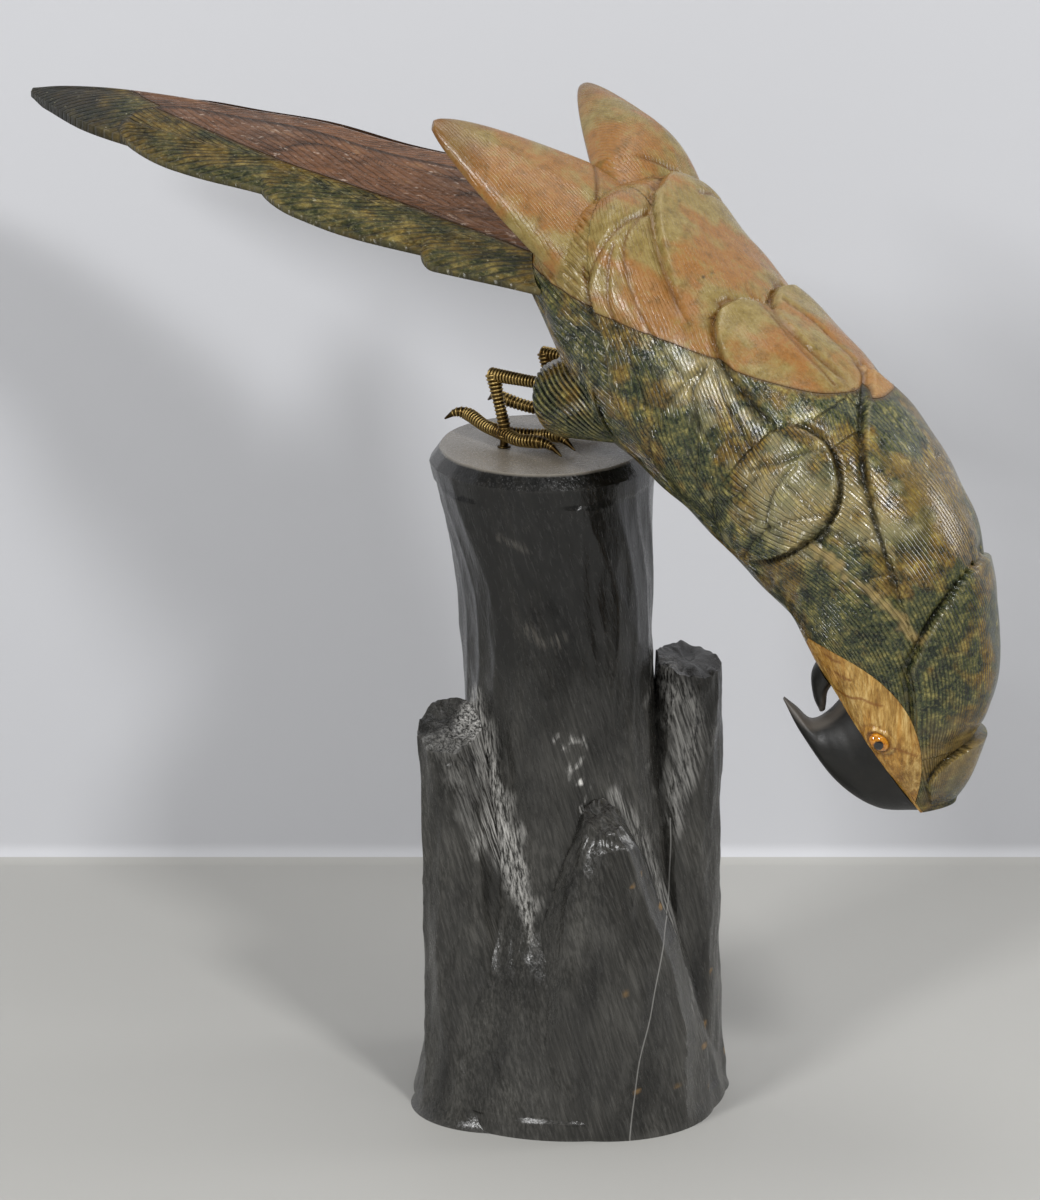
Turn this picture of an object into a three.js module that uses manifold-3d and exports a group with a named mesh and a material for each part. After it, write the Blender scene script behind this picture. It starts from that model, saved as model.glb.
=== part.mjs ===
// Stone macaw statuette: a bird of coloured stones with bronze feet on a black stone tree stump.
// Millimetres, +Z up. The origin is the middle of the stump's flat underside, and -Y is the front.
import * as THREE from 'three';
import Module from 'manifold-3d';
import { mergeVertices } from 'three/addons/utils/BufferGeometryUtils.js';

const wasm = await Module();
wasm.setup();

// Clearance between pieces that touch, and half the size of a block that cuts away one side of a plane.
const GAP = 0.3;
const REACH = 700;
const FINE = 1;

// Stump: rows of height, middle x, middle y, half width and half depth, from the floor up.
const STUMP_TOP = 368;
const STUMP_COLUMN = [
  [0, 1, 0, 88, 88], [20, 1, 0, 84, 86], [80, 0, 1, 71, 78], [120, 0, 4, 60, 67], [180, -2, 5, 55, 61],
  [250, -5, 6, 53, 59], [300, -8, 10, 55, 61], [340, -13, 15, 59, 69], [360, -15, 18, 62, 74],
  [STUMP_TOP, -15, 18, 56, 68],
];
const STUMP_SIDES = 24;
const STUMP_WAVE = { size: 0.018, times: 5, from: 10, to: 350 };
// Branch stubs: foot and head on the floor plan, radii and how they fall, head height, slope of the break.
const STUMP_BRANCHES = [
  { foot: [-38, -26], head: [-66, -24], radii: [50, 18], taper: 0.6, height: 219, slope: [0.1, 0.6] },
  { foot: [54, 4], head: [66, 2], radii: [37, 19], taper: 0.6, height: 249, slope: [-0.15, 0.2] },
  { foot: [20, -26], head: [18, -60], radii: [62, 11], taper: 1.6, height: 178, slope: [-0.2, 0.6] },
];
const BRANCH_ROWS = 5;
const BRANCH_SIDES = 12;

// Bird: where its feet meet the stump, how far it turns to the front, and how far its head turns back.
const PERCH = [-21.5, 35];
const YAW = THREE.MathUtils.degToRad(37);
const HEAD_TURN = THREE.MathUtils.degToRad(37);
const HEAD_TURN_STATIONS = [4, 6];

// Body sections from rump to crown: forward, aside, up, then half width, half height to back and to belly.
const BODY = [
  { at: [13, 0, 122], half: [22, 16, 12] },
  { at: [45, 0, 100], half: [56, 62, 26] },
  { at: [90, 0, 72], half: [63, 58, 57] },
  { at: [139, 0, 37], half: [63, 60, 52] },
  { at: [185, 0, 3], half: [59, 63, 50] },
  { at: [227, 1, -36], half: [51, 56, 50] },
  { at: [246, 6, -84], half: [43, 45, 46] },
  { at: [250, 8, -124], half: [38, 34, 34] },
  { at: [258, 13, -166], half: [14, 14, 14] },
];
const BODY_LAST = BODY.length - 1;
const BODY_ROUND = 2.4;
const BODY_RINGS = 18;
const BODY_SIDES = 18;
// The folded wings make the section wider above than below, most of all at this station.
const PEAR = { most: 0.28, station: 1, spread: 1.2 };

// Wing tips stand free of the body: tip, upper root at the notch, lower root, and the bulge inwards
// and outwards; the far blade is carved fuller than the near one over its outer part.
const WING_TIP = {
  tip: [-14, 70, 184], notch: [40, 3, 156], root: [74, 60, 101],
  inward: 7, near: 21, far: 43, fuller: [-0.22, 0.42],
};
const WING_SECTIONS = 7;
const WING_SIDES = 10;

// Thighs rest on the stump: body end, knee end, and the radius at each.
const THIGH = { hip: [88, 30, 46], knee: [38, 30, 32], radii: [31, 20], sides: 12 };

// Glue planes: height at the perch line and fall for each millimetre forward.
const BACK_SEAM = { height: 123, fall: 0.3 };
const TAIL_SEAM = { height: 121.5, fall: 0.14 };

// Tail: forward place, ridge height, fall from ridge to edge, half width and ridge thickness.
const TAIL = [
  [-362, 155, 2, 2, 3], [-340, 158, 8, 11, 6], [-300, 161, 16, 25, 10], [-250, 161.5, 21, 32, 14],
  [-200, 160, 23.5, 37, 18], [-146, 159, 25.5, 39, 21], [-90, 153, 27.5, 41, 24], [-30, 150, 28.5, 41, 27],
  [30, 147, 28.5, 41, 29], [62, 145, 28.5, 41, 30],
];
const TAIL_ARCH = 1.35;
const TAIL_EDGE_THICK = 5;
// Side feathers of the tail: place of the tip, and inner and outer edge as parts of the half width.
const TAIL_FEATHERS = [
  { tip: -274, inner: 0.3, outer: 1.2 },
  { tip: -160, inner: 0.45, outer: 1.32 },
  { tip: -37, inner: 0.6, outer: 1.45 },
];
const TAIL_FEATHER_LIFT = 3.2;
const TAIL_CELLS = [6, 9];
const TAIL_FEATHER_CELLS = [2, 6];

// Head, measured from the seventh body section: p towards the nape, q up.
const BEAK_PLANE = { from: [-52, 37], to: [-1, -37] };
const FACE_ARC = {
  from: [-58, 55], bulge: [-8, 22], to: [0, -36], past: [14, -57], corner: [-90, -140], reach: 70,
};
const UPPER_BEAK = {
  ridge: [[4, -45], [-19, -43.5], [-41, -29], [-60, -3], [-70, 16]],
  mouth: [[-36, 20], [-46, 9], [-55, 5], [-63, 12], [-69, 17]],
  half: [27, 22, 15, 8, 2],
};
const LOWER_BEAK = {
  ridge: [[-50, 40], [-55, 30], [-54, 18], [-50.5, 9.5]],
  mouth: [[-40, 31], [-46, 22], [-47, 15], [-47.5, 10.5]],
  half: [17, 14, 10, 3],
};
const EYE = { at: [-21, 3], out: 36, long: 5.9, short: 4.2, dome: 3.4, lean: -Math.PI / 5 };

// Feet: perch points, bronze radii, and toes as forward and sideways reach of joints and claw,
// with the rise of a toe that is held clear of the stump.
const FEET = [{ name: 'foot_near', at: [4, -29], side: -1 }, { name: 'foot_far', at: [-4, 29], side: 1 }];
const LEG = { knob: 40, middle: 27, ankle: 13, shank: 3.2, back: [-7, -4], rod: 3, into: [4, 8], sides: 7 };
const TOE = { height: 7, radius: 3.1, claw: 2, point: 0.7, arch: 1.2, sides: 6 };
const TOES = [
  { reach: [[-16, 4], [-30, 8], [-37, 6]], claw: [-44, 4], rise: 6.5 },
  { reach: [[14, 11], [27, 13], [32, 12]], claw: [41, 10], rise: 0 },
  { reach: [[13, -4], [26, -5], [33, -3]], claw: [43, -5], rise: 0 },
];

const vec = (p) => new THREE.Vector3(...p);
const mix = (a, b, k) => a + (b - a) * k;
const smooth = (x, from, to) => THREE.MathUtils.smoothstep(x, from, to);

// One closed solid from points and triangles, turned so that its faces point out.
function solid(points, triangles) {
  let volume = 0;
  for (const [a, b, c] of triangles) {
    volume += points[a].dot(points[b].clone().cross(points[c]));
  }
  const outward = triangles.flatMap(([a, b, c]) => (volume > 0 ? [a, b, c] : [a, c, b]));
  return new wasm.Manifold(new wasm.Mesh({
    numProp: 3,
    vertProperties: Float32Array.from(points.flatMap((p) => [p.x, p.y, p.z])),
    triVerts: Uint32Array.from(outward),
  }));
}

// A three.js geometry as a solid.
function solidOf(geometry) {
  const bare = geometry.index ? geometry.clone() : geometry;
  bare.deleteAttribute('normal');
  bare.deleteAttribute('uv');
  const merged = mergeVertices(bare, 1e-4);
  return new wasm.Manifold(new wasm.Mesh({
    numProp: 3,
    vertProperties: Float32Array.from(merged.attributes.position.array),
    triVerts: Uint32Array.from(merged.index.array),
  }));
}

// Closed rings of points joined one to the next, with a fan over each end.
function loft(rings) {
  const sides = rings[0].length;
  const points = rings.flat();
  const triangles = [];
  for (let r = 0; r + 1 < rings.length; r += 1) {
    for (let s = 0; s < sides; s += 1) {
      const a = r * sides + s;
      const b = r * sides + ((s + 1) % sides);
      triangles.push([a, b, a + sides], [b, b + sides, a + sides]);
    }
  }
  const ends = [[0, 1], [(rings.length - 1) * sides, -1]];
  for (const [start, way] of ends) {
    const centre = new THREE.Vector3();
    for (let s = 0; s < sides; s += 1) {
      centre.addScaledVector(points[start + s], 1 / sides);
    }
    const hub = points.push(centre) - 1;
    for (let s = 0; s < sides; s += 1) {
      const a = start + s;
      const b = start + ((s + 1) % sides);
      triangles.push(way > 0 ? [hub, b, a] : [hub, a, b]);
    }
  }
  return solid(points, triangles);
}

// A closed slab between an upper and a lower grid of points.
function slab(across, along, upper, lower) {
  const wide = across + 1;
  const points = [];
  for (const face of [upper, lower]) {
    for (let i = 0; i <= along; i += 1) {
      for (let j = 0; j <= across; j += 1) {
        points.push(face(i / along, j / across));
      }
    }
  }
  const under = wide * (along + 1);
  const triangles = [];
  for (let i = 0; i < along; i += 1) {
    for (let j = 0; j < across; j += 1) {
      const a = i * wide + j;
      const b = a + wide;
      triangles.push([a, a + 1, b], [a + 1, b + 1, b]);
      triangles.push([under + a, under + b, under + a + 1], [under + a + 1, under + b, under + b + 1]);
    }
  }
  const rim = [];
  for (let j = 0; j < across; j += 1) {
    rim.push([j + 1, j], [along * wide + j, along * wide + j + 1]);
  }
  for (let i = 0; i < along; i += 1) {
    rim.push([i * wide, (i + 1) * wide], [(i + 1) * wide + across, i * wide + across]);
  }
  for (const [a, b] of rim) {
    triangles.push([a, b, under + a], [b, under + b, under + a]);
  }
  return solid(points, triangles);
}

// A round bar along points, with its own radius at each.
function bar(points, radii, sides) {
  const path = new THREE.CatmullRomCurve3(points, false, 'catmullrom', 0.5);
  const steps = Math.round((points.length - 1) * 1.5);
  const frames = path.computeFrenetFrames(steps, false);
  const rings = [];
  for (let i = 0; i <= steps; i += 1) {
    const t = i / steps;
    const place = t * (radii.length - 1);
    const low = Math.min(Math.floor(place), radii.length - 2);
    const radius = mix(radii[low], radii[low + 1], place - low);
    const centre = path.getPointAt(t);
    rings.push(Array.from({ length: sides }, (_, s) => {
      const turn = (s / sides) * 2 * Math.PI;
      return centre.clone()
        .addScaledVector(frames.normals[i], radius * Math.cos(turn))
        .addScaledVector(frames.binormals[i], radius * Math.sin(turn));
    }));
  }
  return loft(rings);
}

// The block on the side of a plane that its normal points to.
function halfSpace(point, normal) {
  const block = new THREE.BoxGeometry(2 * REACH, 2 * REACH, 2 * REACH);
  const way = normal.clone().normalize();
  block.applyQuaternion(new THREE.Quaternion().setFromUnitVectors(new THREE.Vector3(0, 0, 1), way));
  block.translate(...point.clone().addScaledVector(way, REACH).toArray());
  return solidOf(block);
}

const union = (solids) => solids.reduce((all, next) => all.add(next));
// The largest body of a solid, without chips that a cut has left loose.
const whole = (body) => body.decompose().reduce((most, one) => (one.volume() > most.volume() ? one : most));

// A named mesh from a solid, in its own plain finish.
function meshOf(name, body, colour, roughness, metalness = 0) {
  const { vertProperties, triVerts } = body.getMesh();
  const geometry = new THREE.BufferGeometry();
  geometry.setAttribute('position', new THREE.BufferAttribute(Float32Array.from(vertProperties), 3));
  geometry.setIndex(new THREE.BufferAttribute(Uint32Array.from(triVerts), 1));
  geometry.computeVertexNormals();
  const finish = new THREE.MeshStandardMaterial({ color: colour, roughness, metalness });
  const mesh = new THREE.Mesh(geometry, finish);
  mesh.name = name;
  return mesh;
}

// Stump

// A ring of the column, a little uneven between the floor and the rim as the carver left it.
function stumpRing([z, x, y, wide, deep], row) {
  const carved = z > STUMP_WAVE.from && z < STUMP_WAVE.to;
  return Array.from({ length: STUMP_SIDES }, (_, s) => {
    const turn = (s / STUMP_SIDES) * 2 * Math.PI;
    const worn = carved ? 1 + STUMP_WAVE.size * Math.sin(STUMP_WAVE.times * turn + row) : 1;
    return new THREE.Vector3(x + wide * worn * Math.cos(turn), y + deep * worn * Math.sin(turn), z);
  });
}

function stumpBranch({ foot, head, radii, taper, height, slope }) {
  const rings = Array.from({ length: BRANCH_ROWS + 1 }, (_, row) => {
    const k = row / BRANCH_ROWS;
    const radius = mix(radii[0], radii[1], k ** taper);
    return Array.from({ length: BRANCH_SIDES }, (_, s) => {
      const turn = (s / BRANCH_SIDES) * 2 * Math.PI;
      const x = radius * Math.cos(turn);
      const y = radius * Math.sin(turn);
      const broken = row === BRANCH_ROWS ? slope[0] * x + slope[1] * y : 0;
      const [ax, ay] = [mix(foot[0], head[0], k), mix(foot[1], head[1], k)];
      return new THREE.Vector3(ax + x, ay + y, height * k + broken);
    });
  });
  return loft(rings);
}

function makeStump() {
  const column = loft(STUMP_COLUMN.map(stumpRing));
  return union([column, ...STUMP_BRANCHES.map(stumpBranch)]);
}

// Bird's skin

const spine = new THREE.CatmullRomCurve3(BODY.map(({ at }) => vec(at)), false, 'catmullrom', 0.5);
const girth = new THREE.CatmullRomCurve3(BODY.map(({ half }) => vec(half)), false, 'catmullrom', 0.5);

// Point of the body at a station, an angle from the back (degrees, near side negative) and a lift.
function skin(station, angle, lift = 0) {
  const t = THREE.MathUtils.clamp(station / BODY_LAST, 0, 1);
  const centre = spine.getPoint(t);
  const [side, back, belly] = girth.getPoint(t).toArray();
  const after = spine.getPoint(Math.min(t + 1e-3, 1));
  const before = spine.getPoint(Math.max(t - 1e-3, 0));
  const ahead = after.sub(before).normalize();
  const turn = HEAD_TURN * smooth(station, ...HEAD_TURN_STATIONS);
  const aside = new THREE.Vector3(-Math.sin(turn), Math.cos(turn), 0);
  aside.addScaledVector(ahead, -aside.dot(ahead)).normalize();
  const upward = ahead.clone().cross(aside);
  const round = THREE.MathUtils.degToRad(angle);
  const curve = (value) => Math.sign(value) * Math.abs(value) ** (2 / BODY_ROUND);
  const pear = PEAR.most * Math.exp(-(((station - PEAR.station) / PEAR.spread) ** 2));
  const wide = side * (1 + pear * Math.cos(round)) + lift;
  const high = (Math.cos(round) > 0 ? back : belly) + lift;
  return centre.addScaledVector(aside, wide * curve(Math.sin(round)))
    .addScaledVector(upward, high * curve(Math.cos(round)));
}

function makeTorso(lift) {
  return loft(Array.from({ length: BODY_RINGS + 1 }, (_, r) => {
    const station = (r / BODY_RINGS) * BODY_LAST;
    return Array.from({ length: BODY_SIDES }, (_, s) => skin(station, (s / BODY_SIDES) * 360 - 180, lift));
  }));
}

// Carved layers

const UNDER = -6;
const skinLine = (edge) => new THREE.SplineCurve(edge.map((pair) => new THREE.Vector2(...pair)));

// A feather layer: it stands up along its edge and sinks into the skin the given way behind it.
function feather({ edge, behind, lift }, side) {
  const line = skinLine(edge);
  const face = (height) => (k, j) => {
    const { x, y } = line.getPoint(k);
    const fade = Math.min(1, 6 * k * (1 - k) + 0.15);
    return skin(x + behind[0] * j, side * (y + behind[1] * j), height(fade, j));
  };
  return slab(2, 7, face((fade, j) => mix(lift * fade, -1, j)), face(() => UNDER));
}

// A line cut into the skin with the section of a vee, shallow at both ends.
function cut({ edge, floor }, side) {
  const line = skinLine(edge);
  const steps = 5;
  return loft(Array.from({ length: steps + 1 }, (_, i) => {
    const k = i / steps;
    const { x, y } = line.getPoint(k);
    const ahead = line.getPoint(Math.min(1, k + 0.02));
    const behind = line.getPoint(Math.max(0, k - 0.02));
    const shallow = CUT.shallow * Math.max(0, 1 - 5 * Math.min(k, 1 - k));
    const height = mix(floor[0], floor[1], k) + shallow;
    const foot = skin(x, side * y, height);
    const out = skin(x, side * y, height + CUT.open).sub(foot);
    const along = skin(ahead.x, side * ahead.y).sub(skin(behind.x, side * behind.y));
    const across = along.cross(out).setLength(CUT.half);
    return [foot, foot.clone().add(out).add(across), foot.clone().add(out).sub(across)];
  }));
}

// A leaf that widens from its tip by a rule; middle and half width are angles round the body.
function leaf({ tip, base, middle, half, lift, cells }, side = 1) {
  const face = (height) => (k, j) => {
    const along = k ** 1.6;
    const across = 2 * j - 1;
    const spread = Math.max(half(along), 1.5);
    return skin(mix(tip, base, along), side * (middle(along) + across * spread), height(along, across));
  };
  const crown = (along, across) => mix(lift, -1.5, along ** 3) + 0.2 * lift * (1 - across * across);
  return slab(cells, 6, face(crown), face(() => UNDER));
}

// Wing feathers on each side: the trailing edge, read from its upper end.
const WING_EDGE = {
  edge: [[0.6, -7], [1.2, -44], [1.64, -69], [2.3, -93], [3, -116]], behind: [1.3, 0], lift: 5,
};
// Vanes cut into the wing on each side, fanning out from the mantle and from the shoulder.
const WING_CUTS = [
  { edge: [[0.58, -8], [1.14, -44], [1.58, -69], [2.24, -93], [2.94, -116]], floor: [-1, -2] },
  { edge: [[1.42, -13], [1.47, -40], [1.57, -66]], floor: [-0.6, 2.2] },
  { edge: [[1.55, -42], [1.68, -53], [1.91, -67], [2.31, -79], [2.7, -89]], floor: [1, 0.4] },
  { edge: [[1.42, -13], [1.57, -34], [1.87, -49], [2.28, -61], [2.8, -68]], floor: [0, -2] },
  { edge: [[2.88, -54], [2.85, -75], [2.87, -94], [3, -112]], floor: [-2, 0.8] },
  { edge: [[2.9, -57], [2.95, -69], [3.18, -79], [3.5, -85]], floor: [-2, -2] },
  { edge: [[2.96, -52], [3.31, -63], [3.62, -69], [3.85, -73]], floor: [-2, -2] },
];
const CUT = { open: 7, half: 5, shallow: 1.6 };

const bow = (k) => Math.sqrt(Math.max(0, 1 - (1 - Math.min(1, k)) ** 2));
const swell = (k) => Math.sin(Math.PI * mix(0.08, 0.85, k)) ** 0.7;
// Shoulder leaves on each side: the oval behind the neck and the oval at the wing's bend.
const SIDE_LEAVES = [
  {
    tip: 2.53, base: 3.95, middle: (k) => mix(-18, -27, k), half: (k) => 27 * bow(2 * k),
    lift: 4, cells: 4,
  },
  { tip: 4.64, base: 3.7, middle: () => -80, half: (k) => 40 * swell(k), lift: 6, cells: 4 },
];
// Leaves over the middle of the back: mantle, nape panel, hood and crest.
const MIDDLE_LEAVES = [
  {
    tip: 0.95, base: 2.7, middle: (k) => mix(12, 0, k), half: (k) => 49 * k ** 0.75,
    lift: 4, cells: 6,
  },
  {
    tip: 3.66, base: 5.7, middle: (k) => mix(12, 0, k), half: (k) => 84 * Math.sin((k * Math.PI) / 2) ** 1.3,
    lift: 4, cells: 7,
  },
  { tip: 5.3, base: 7.2, middle: () => 0, half: (k) => 92 * bow(2.4 * k), lift: 4.5, cells: 7 },
  { tip: 7.16, base: 7.95, middle: () => 0, half: (k) => 24 + 66 * bow(1.6 * k), lift: 6, cells: 6 },
];

// Wing tip blade: sections from the body to the tip, between the notch and the lower root.
function makeWingTip(side, lift) {
  const place = ([x, y, z]) => new THREE.Vector3(x, side * y, z);
  const tip = place(WING_TIP.tip);
  const upper = place(WING_TIP.notch);
  const lower = place(WING_TIP.root);
  const middle = upper.clone().lerp(lower, 0.5);
  const half = lower.clone().sub(upper).multiplyScalar(0.5);
  const out = half.clone().cross(tip.clone().sub(middle)).normalize();
  out.multiplyScalar(Math.sign(out.y) === side ? 1 : -1);
  const most = side > 0 ? WING_TIP.far : WING_TIP.near;
  const outward = (k) => mix(WING_TIP.near, most, smooth(k, ...WING_TIP.fuller));
  const rings = Array.from({ length: WING_SECTIONS + 1 }, (_, i) => {
    const k = mix(-0.3, 0.985, i / WING_SECTIONS);
    const left = 1 - k;
    const wide = Math.min(1, left) ** 0.62 + lift / half.length();
    return Array.from({ length: WING_SIDES }, (_, s) => {
      const turn = (s / WING_SIDES) * 2 * Math.PI;
      const bulge = Math.sin(turn) > 0 ? outward(k) : WING_TIP.inward;
      const thick = bulge * Math.min(1, left) ** 0.8 + 1.5 + lift;
      return middle.clone().lerp(tip, k)
        .addScaledVector(half, wide * Math.cos(turn))
        .addScaledVector(out, thick * Math.sin(turn));
    });
  });
  return loft(rings);
}

function makeThigh(side) {
  const ends = [THIGH.hip, THIGH.knee].map(([x, y, z]) => new THREE.Vector3(x, side * y, z));
  const past = ends[1].clone().add(ends[1].clone().sub(ends[0]).multiplyScalar(0.12));
  const [hip, knee] = THIGH.radii;
  const path = [ends[0], ends[0].clone().lerp(ends[1], 0.5), ends[1], past];
  const limb = bar(path, [hip, mix(hip, knee, 0.5), knee, 0.7 * knee], THIGH.sides);
  return limb.intersect(halfSpace(new THREE.Vector3(0, 0, GAP), new THREE.Vector3(0, 0, 1)));
}

// Head plane

const napeWay = new THREE.Vector3(Math.cos(HEAD_TURN), Math.sin(HEAD_TURN), 0);
const farWay = new THREE.Vector3(-Math.sin(HEAD_TURN), Math.cos(HEAD_TURN), 0);
const headMiddle = vec(BODY[BODY_LAST - 1].at);
const upWay = new THREE.Vector3(0, 0, 1);
const headBasis = new THREE.Matrix4().makeBasis(napeWay, upWay, farWay.clone().negate());

// Point of the head: p towards the nape, q up, s towards the far side.
function headPoint(p, q, s = 0) {
  const flat = headMiddle.clone().addScaledVector(napeWay, p).addScaledVector(farWay, s);
  return flat.add(new THREE.Vector3(0, 0, q));
}

const beakFrom = headPoint(...BEAK_PLANE.from);
const beakWay = farWay.clone().cross(headPoint(...BEAK_PLANE.to).sub(beakFrom)).normalize();

// The head between the face's arc and the beak plane: a lens that runs right through.
function faceLens(grow) {
  const { from, bulge, to, past, corner, reach } = FACE_ARC;
  const pull = [0, 1].map((i) => 2 * bulge[i] - (from[i] + to[i]) / 2 + grow);
  const shape = new THREE.Shape();
  shape.moveTo(from[0] - grow, from[1] + grow);
  shape.quadraticCurveTo(...pull, to[0] + grow, to[1] - grow);
  shape.lineTo(past[0] + grow, past[1]);
  shape.lineTo(...corner);
  const run = { depth: 2 * reach, bevelEnabled: false, curveSegments: 12 };
  const prism = new THREE.ExtrudeGeometry(shape, run);
  prism.translate(0, 0, -reach);
  prism.applyMatrix4(headBasis);
  prism.translate(...headMiddle.toArray());
  return solidOf(prism);
}

function beakHalf({ ridge, mouth, half }) {
  const line = (pairs) => new THREE.SplineCurve(pairs.map(([p, q]) => new THREE.Vector2(p, q)));
  const ridgeLine = line(ridge);
  const mouthLine = line(mouth);
  const widths = new THREE.SplineCurve(half.map((w, i) => new THREE.Vector2(i, w)));
  const steps = 8;
  const sides = 12;
  const rings = Array.from({ length: steps + 1 }, (_, i) => {
    const t = i / steps;
    const a = ridgeLine.getPoint(t);
    const b = mouthLine.getPoint(t);
    const wide = widths.getPoint(t).y;
    return Array.from({ length: sides }, (_, s) => {
      const turn = (s / sides) * 2 * Math.PI;
      const k = (1 + Math.cos(turn)) / 2;
      return headPoint(mix(b.x, a.x, k), mix(b.y, a.y, k), wide * Math.sin(turn));
    });
  });
  return loft(rings).intersect(halfSpace(beakFrom.clone().addScaledVector(beakWay, GAP), beakWay));
}

// The eye lies in the side of the face: an almond dome, larger by the grow.
function makeEye(side, grow) {
  const dome = new THREE.SphereGeometry(1, 10, 6);
  dome.scale(EYE.long + grow, EYE.short + grow, EYE.dome + grow);
  dome.rotateZ(EYE.lean);
  dome.applyMatrix4(headBasis);
  dome.translate(...headPoint(...EYE.at, side * EYE.out).toArray());
  return solidOf(dome);
}

// Tail

const throughAll = (points) => new THREE.CatmullRomCurve3(points, false, 'catmullrom', 0.5);
const tailLine = throughAll(TAIL.map(([x, ridge, drop]) => new THREE.Vector3(x, ridge, drop)));
const tailSize = throughAll(TAIL.map(([, , , half, thick]) => new THREE.Vector3(half, thick, 0)));
const TAIL_FROM = TAIL[0][0];
const TAIL_TO = TAIL[TAIL.length - 1][0];

// Parameter of the tail line at a forward place.
function tailAt(x) {
  let low = 0;
  let high = 1;
  for (let i = 0; i < 24; i += 1) {
    const t = (low + high) / 2;
    if (tailLine.getPoint(t).x < x) {
      low = t;
    } else {
      high = t;
    }
  }
  return low;
}

// Point of the tail at a forward place and a part of the half width, on its upper or under face.
function tailPoint(x, part, lift, under = 0) {
  const t = tailAt(x);
  const { y: ridge, z: drop } = tailLine.getPoint(t);
  const { x: half, y: thick } = tailSize.getPoint(t);
  const fall = drop * Math.abs(part) ** TAIL_ARCH;
  const depth = mix(thick, Math.min(thick, TAIL_EDGE_THICK), Math.abs(Math.min(1, Math.abs(part))));
  return new THREE.Vector3(x, part * half, ridge - fall + lift - under * depth);
}

function makeTail() {
  const [across, steps] = TAIL_CELLS;
  const rings = Array.from({ length: steps + 1 }, (_, i) => {
    const x = mix(TAIL_FROM, TAIL_TO, (i / steps) ** 1.15);
    const upper = Array.from({ length: across + 1 }, (_, j) => tailPoint(x, (2 * j) / across - 1, 0));
    const lower = Array.from({ length: across + 1 }, (_, j) => tailPoint(x, 1 - (2 * j) / across, 0, 1));
    return [...upper, ...lower];
  });
  const feathers = TAIL_FEATHERS.flatMap((one) => [-1, 1].map((side) => tailFeather(one, side)));
  return union([loft(rings), ...feathers]);
}

function tailFeather({ tip, inner, outer }, side) {
  const face = (height, under) => (k, j) => {
    const x = mix(tip, TAIL_TO, k ** 1.8);
    const middle = mix(inner, outer, 0.62);
    const reach = bow(6 * k ** 1.8 + 0.002);
    const part = mix(middle, mix(inner, outer, j), Math.max(reach, 0.06));
    return tailPoint(x, side * part, height, under);
  };
  return slab(...TAIL_FEATHER_CELLS, face(TAIL_FEATHER_LIFT, 0), face(-1, 0.9));
}

// Feet

// A bronze foot, or with a grow the room that it needs.
function makeFoot({ at, side }, grow = 0) {
  const [x, y] = at;
  const point = (dx, dy, z) => new THREE.Vector3(x + dx, y - side * dy, z);
  const rounded = (points, radii, sides) => bar(points, radii.map((r) => r + grow), sides);
  const knob = point(LEG.back[0], 0, LEG.knob);
  const shank = rounded(
    [knob, point(LEG.back[1], 0, LEG.middle), point(0, 0, LEG.ankle), point(0, 0, TOE.height)],
    [LEG.shank + 0.6, LEG.shank, LEG.shank + 0.4],
    LEG.sides,
  );
  const [kneeX, kneeY, kneeZ] = THIGH.knee;
  const thigh = new THREE.Vector3(kneeX + LEG.into[0] + grow, side * kneeY, kneeZ + LEG.into[1]);
  const rod = rounded(
    [point(LEG.back[0] - 1, 0, LEG.knob), knob.clone().lerp(thigh, 0.5), thigh],
    [LEG.rod, LEG.rod],
    LEG.sides,
  );
  const toes = TOES.map(({ reach, claw, rise }) => {
    const joints = reach.map(([dx, dy], i) => point(dx, dy, TOE.height + (rise * (i + 1)) / reach.length));
    joints[1].z += TOE.arch;
    const path = [point(0, 0, TOE.height + 1), ...joints, point(...claw, TOE.claw + 0.6 + rise)];
    return rounded(path, [TOE.radius + 0.5, TOE.radius, TOE.radius, TOE.claw, TOE.point], TOE.sides);
  });
  const peg = new THREE.CylinderGeometry(LEG.rod - 1, LEG.rod - 0.4, TOE.height, LEG.sides);
  peg.rotateX(Math.PI / 2);
  peg.translate(x, y, TOE.height / 2 + GAP);
  return union([shank, rod, solidOf(peg), ...toes]);
}

// The whole bird before it is parted at the glue planes

function makeFigure() {
  const sides = [-1, 1];
  const layers = union([
    makeTorso(0),
    ...sides.map((side) => makeWingTip(side, 0)),
    ...sides.map(makeThigh),
    ...sides.map((side) => feather(WING_EDGE, -side)),
    ...sides.flatMap((side) => SIDE_LEAVES.map((one) => leaf(one, -side))),
    ...MIDDLE_LEAVES.map((one) => leaf(one)),
  ]);
  const cuts = sides.flatMap((side) => WING_CUTS.map((one) => cut(one, -side)));
  return layers.subtract(union(cuts));
}

const upright = ({ fall }) => new THREE.Vector3(fall, 0, 1);
const seamPoint = ({ height }, shift) => new THREE.Vector3(0, 0, height + shift);
const above = (seam) => halfSpace(seamPoint(seam, GAP / 2), upright(seam));
const below = (seam) => halfSpace(seamPoint(seam, -GAP / 2), upright(seam).negate());

const figure = makeFigure().simplify(FINE);
const ROOM = GAP + FINE;
const bodyRoom = union([makeTorso(ROOM), makeWingTip(-1, ROOM), makeWingTip(1, ROOM)]);
const tail = makeTail().simplify(FINE).subtract(bodyRoom);
const lower = figure.intersect(below(BACK_SEAM));
const behindBeak = halfSpace(beakFrom, beakWay.clone().negate());
const face = lower.intersect(faceLens(0)).intersect(behindBeak);
const sockets = [makeEye(-1, GAP), makeEye(1, GAP)];
const footRoom = FEET.map((foot) => makeFoot(foot, GAP));

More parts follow.
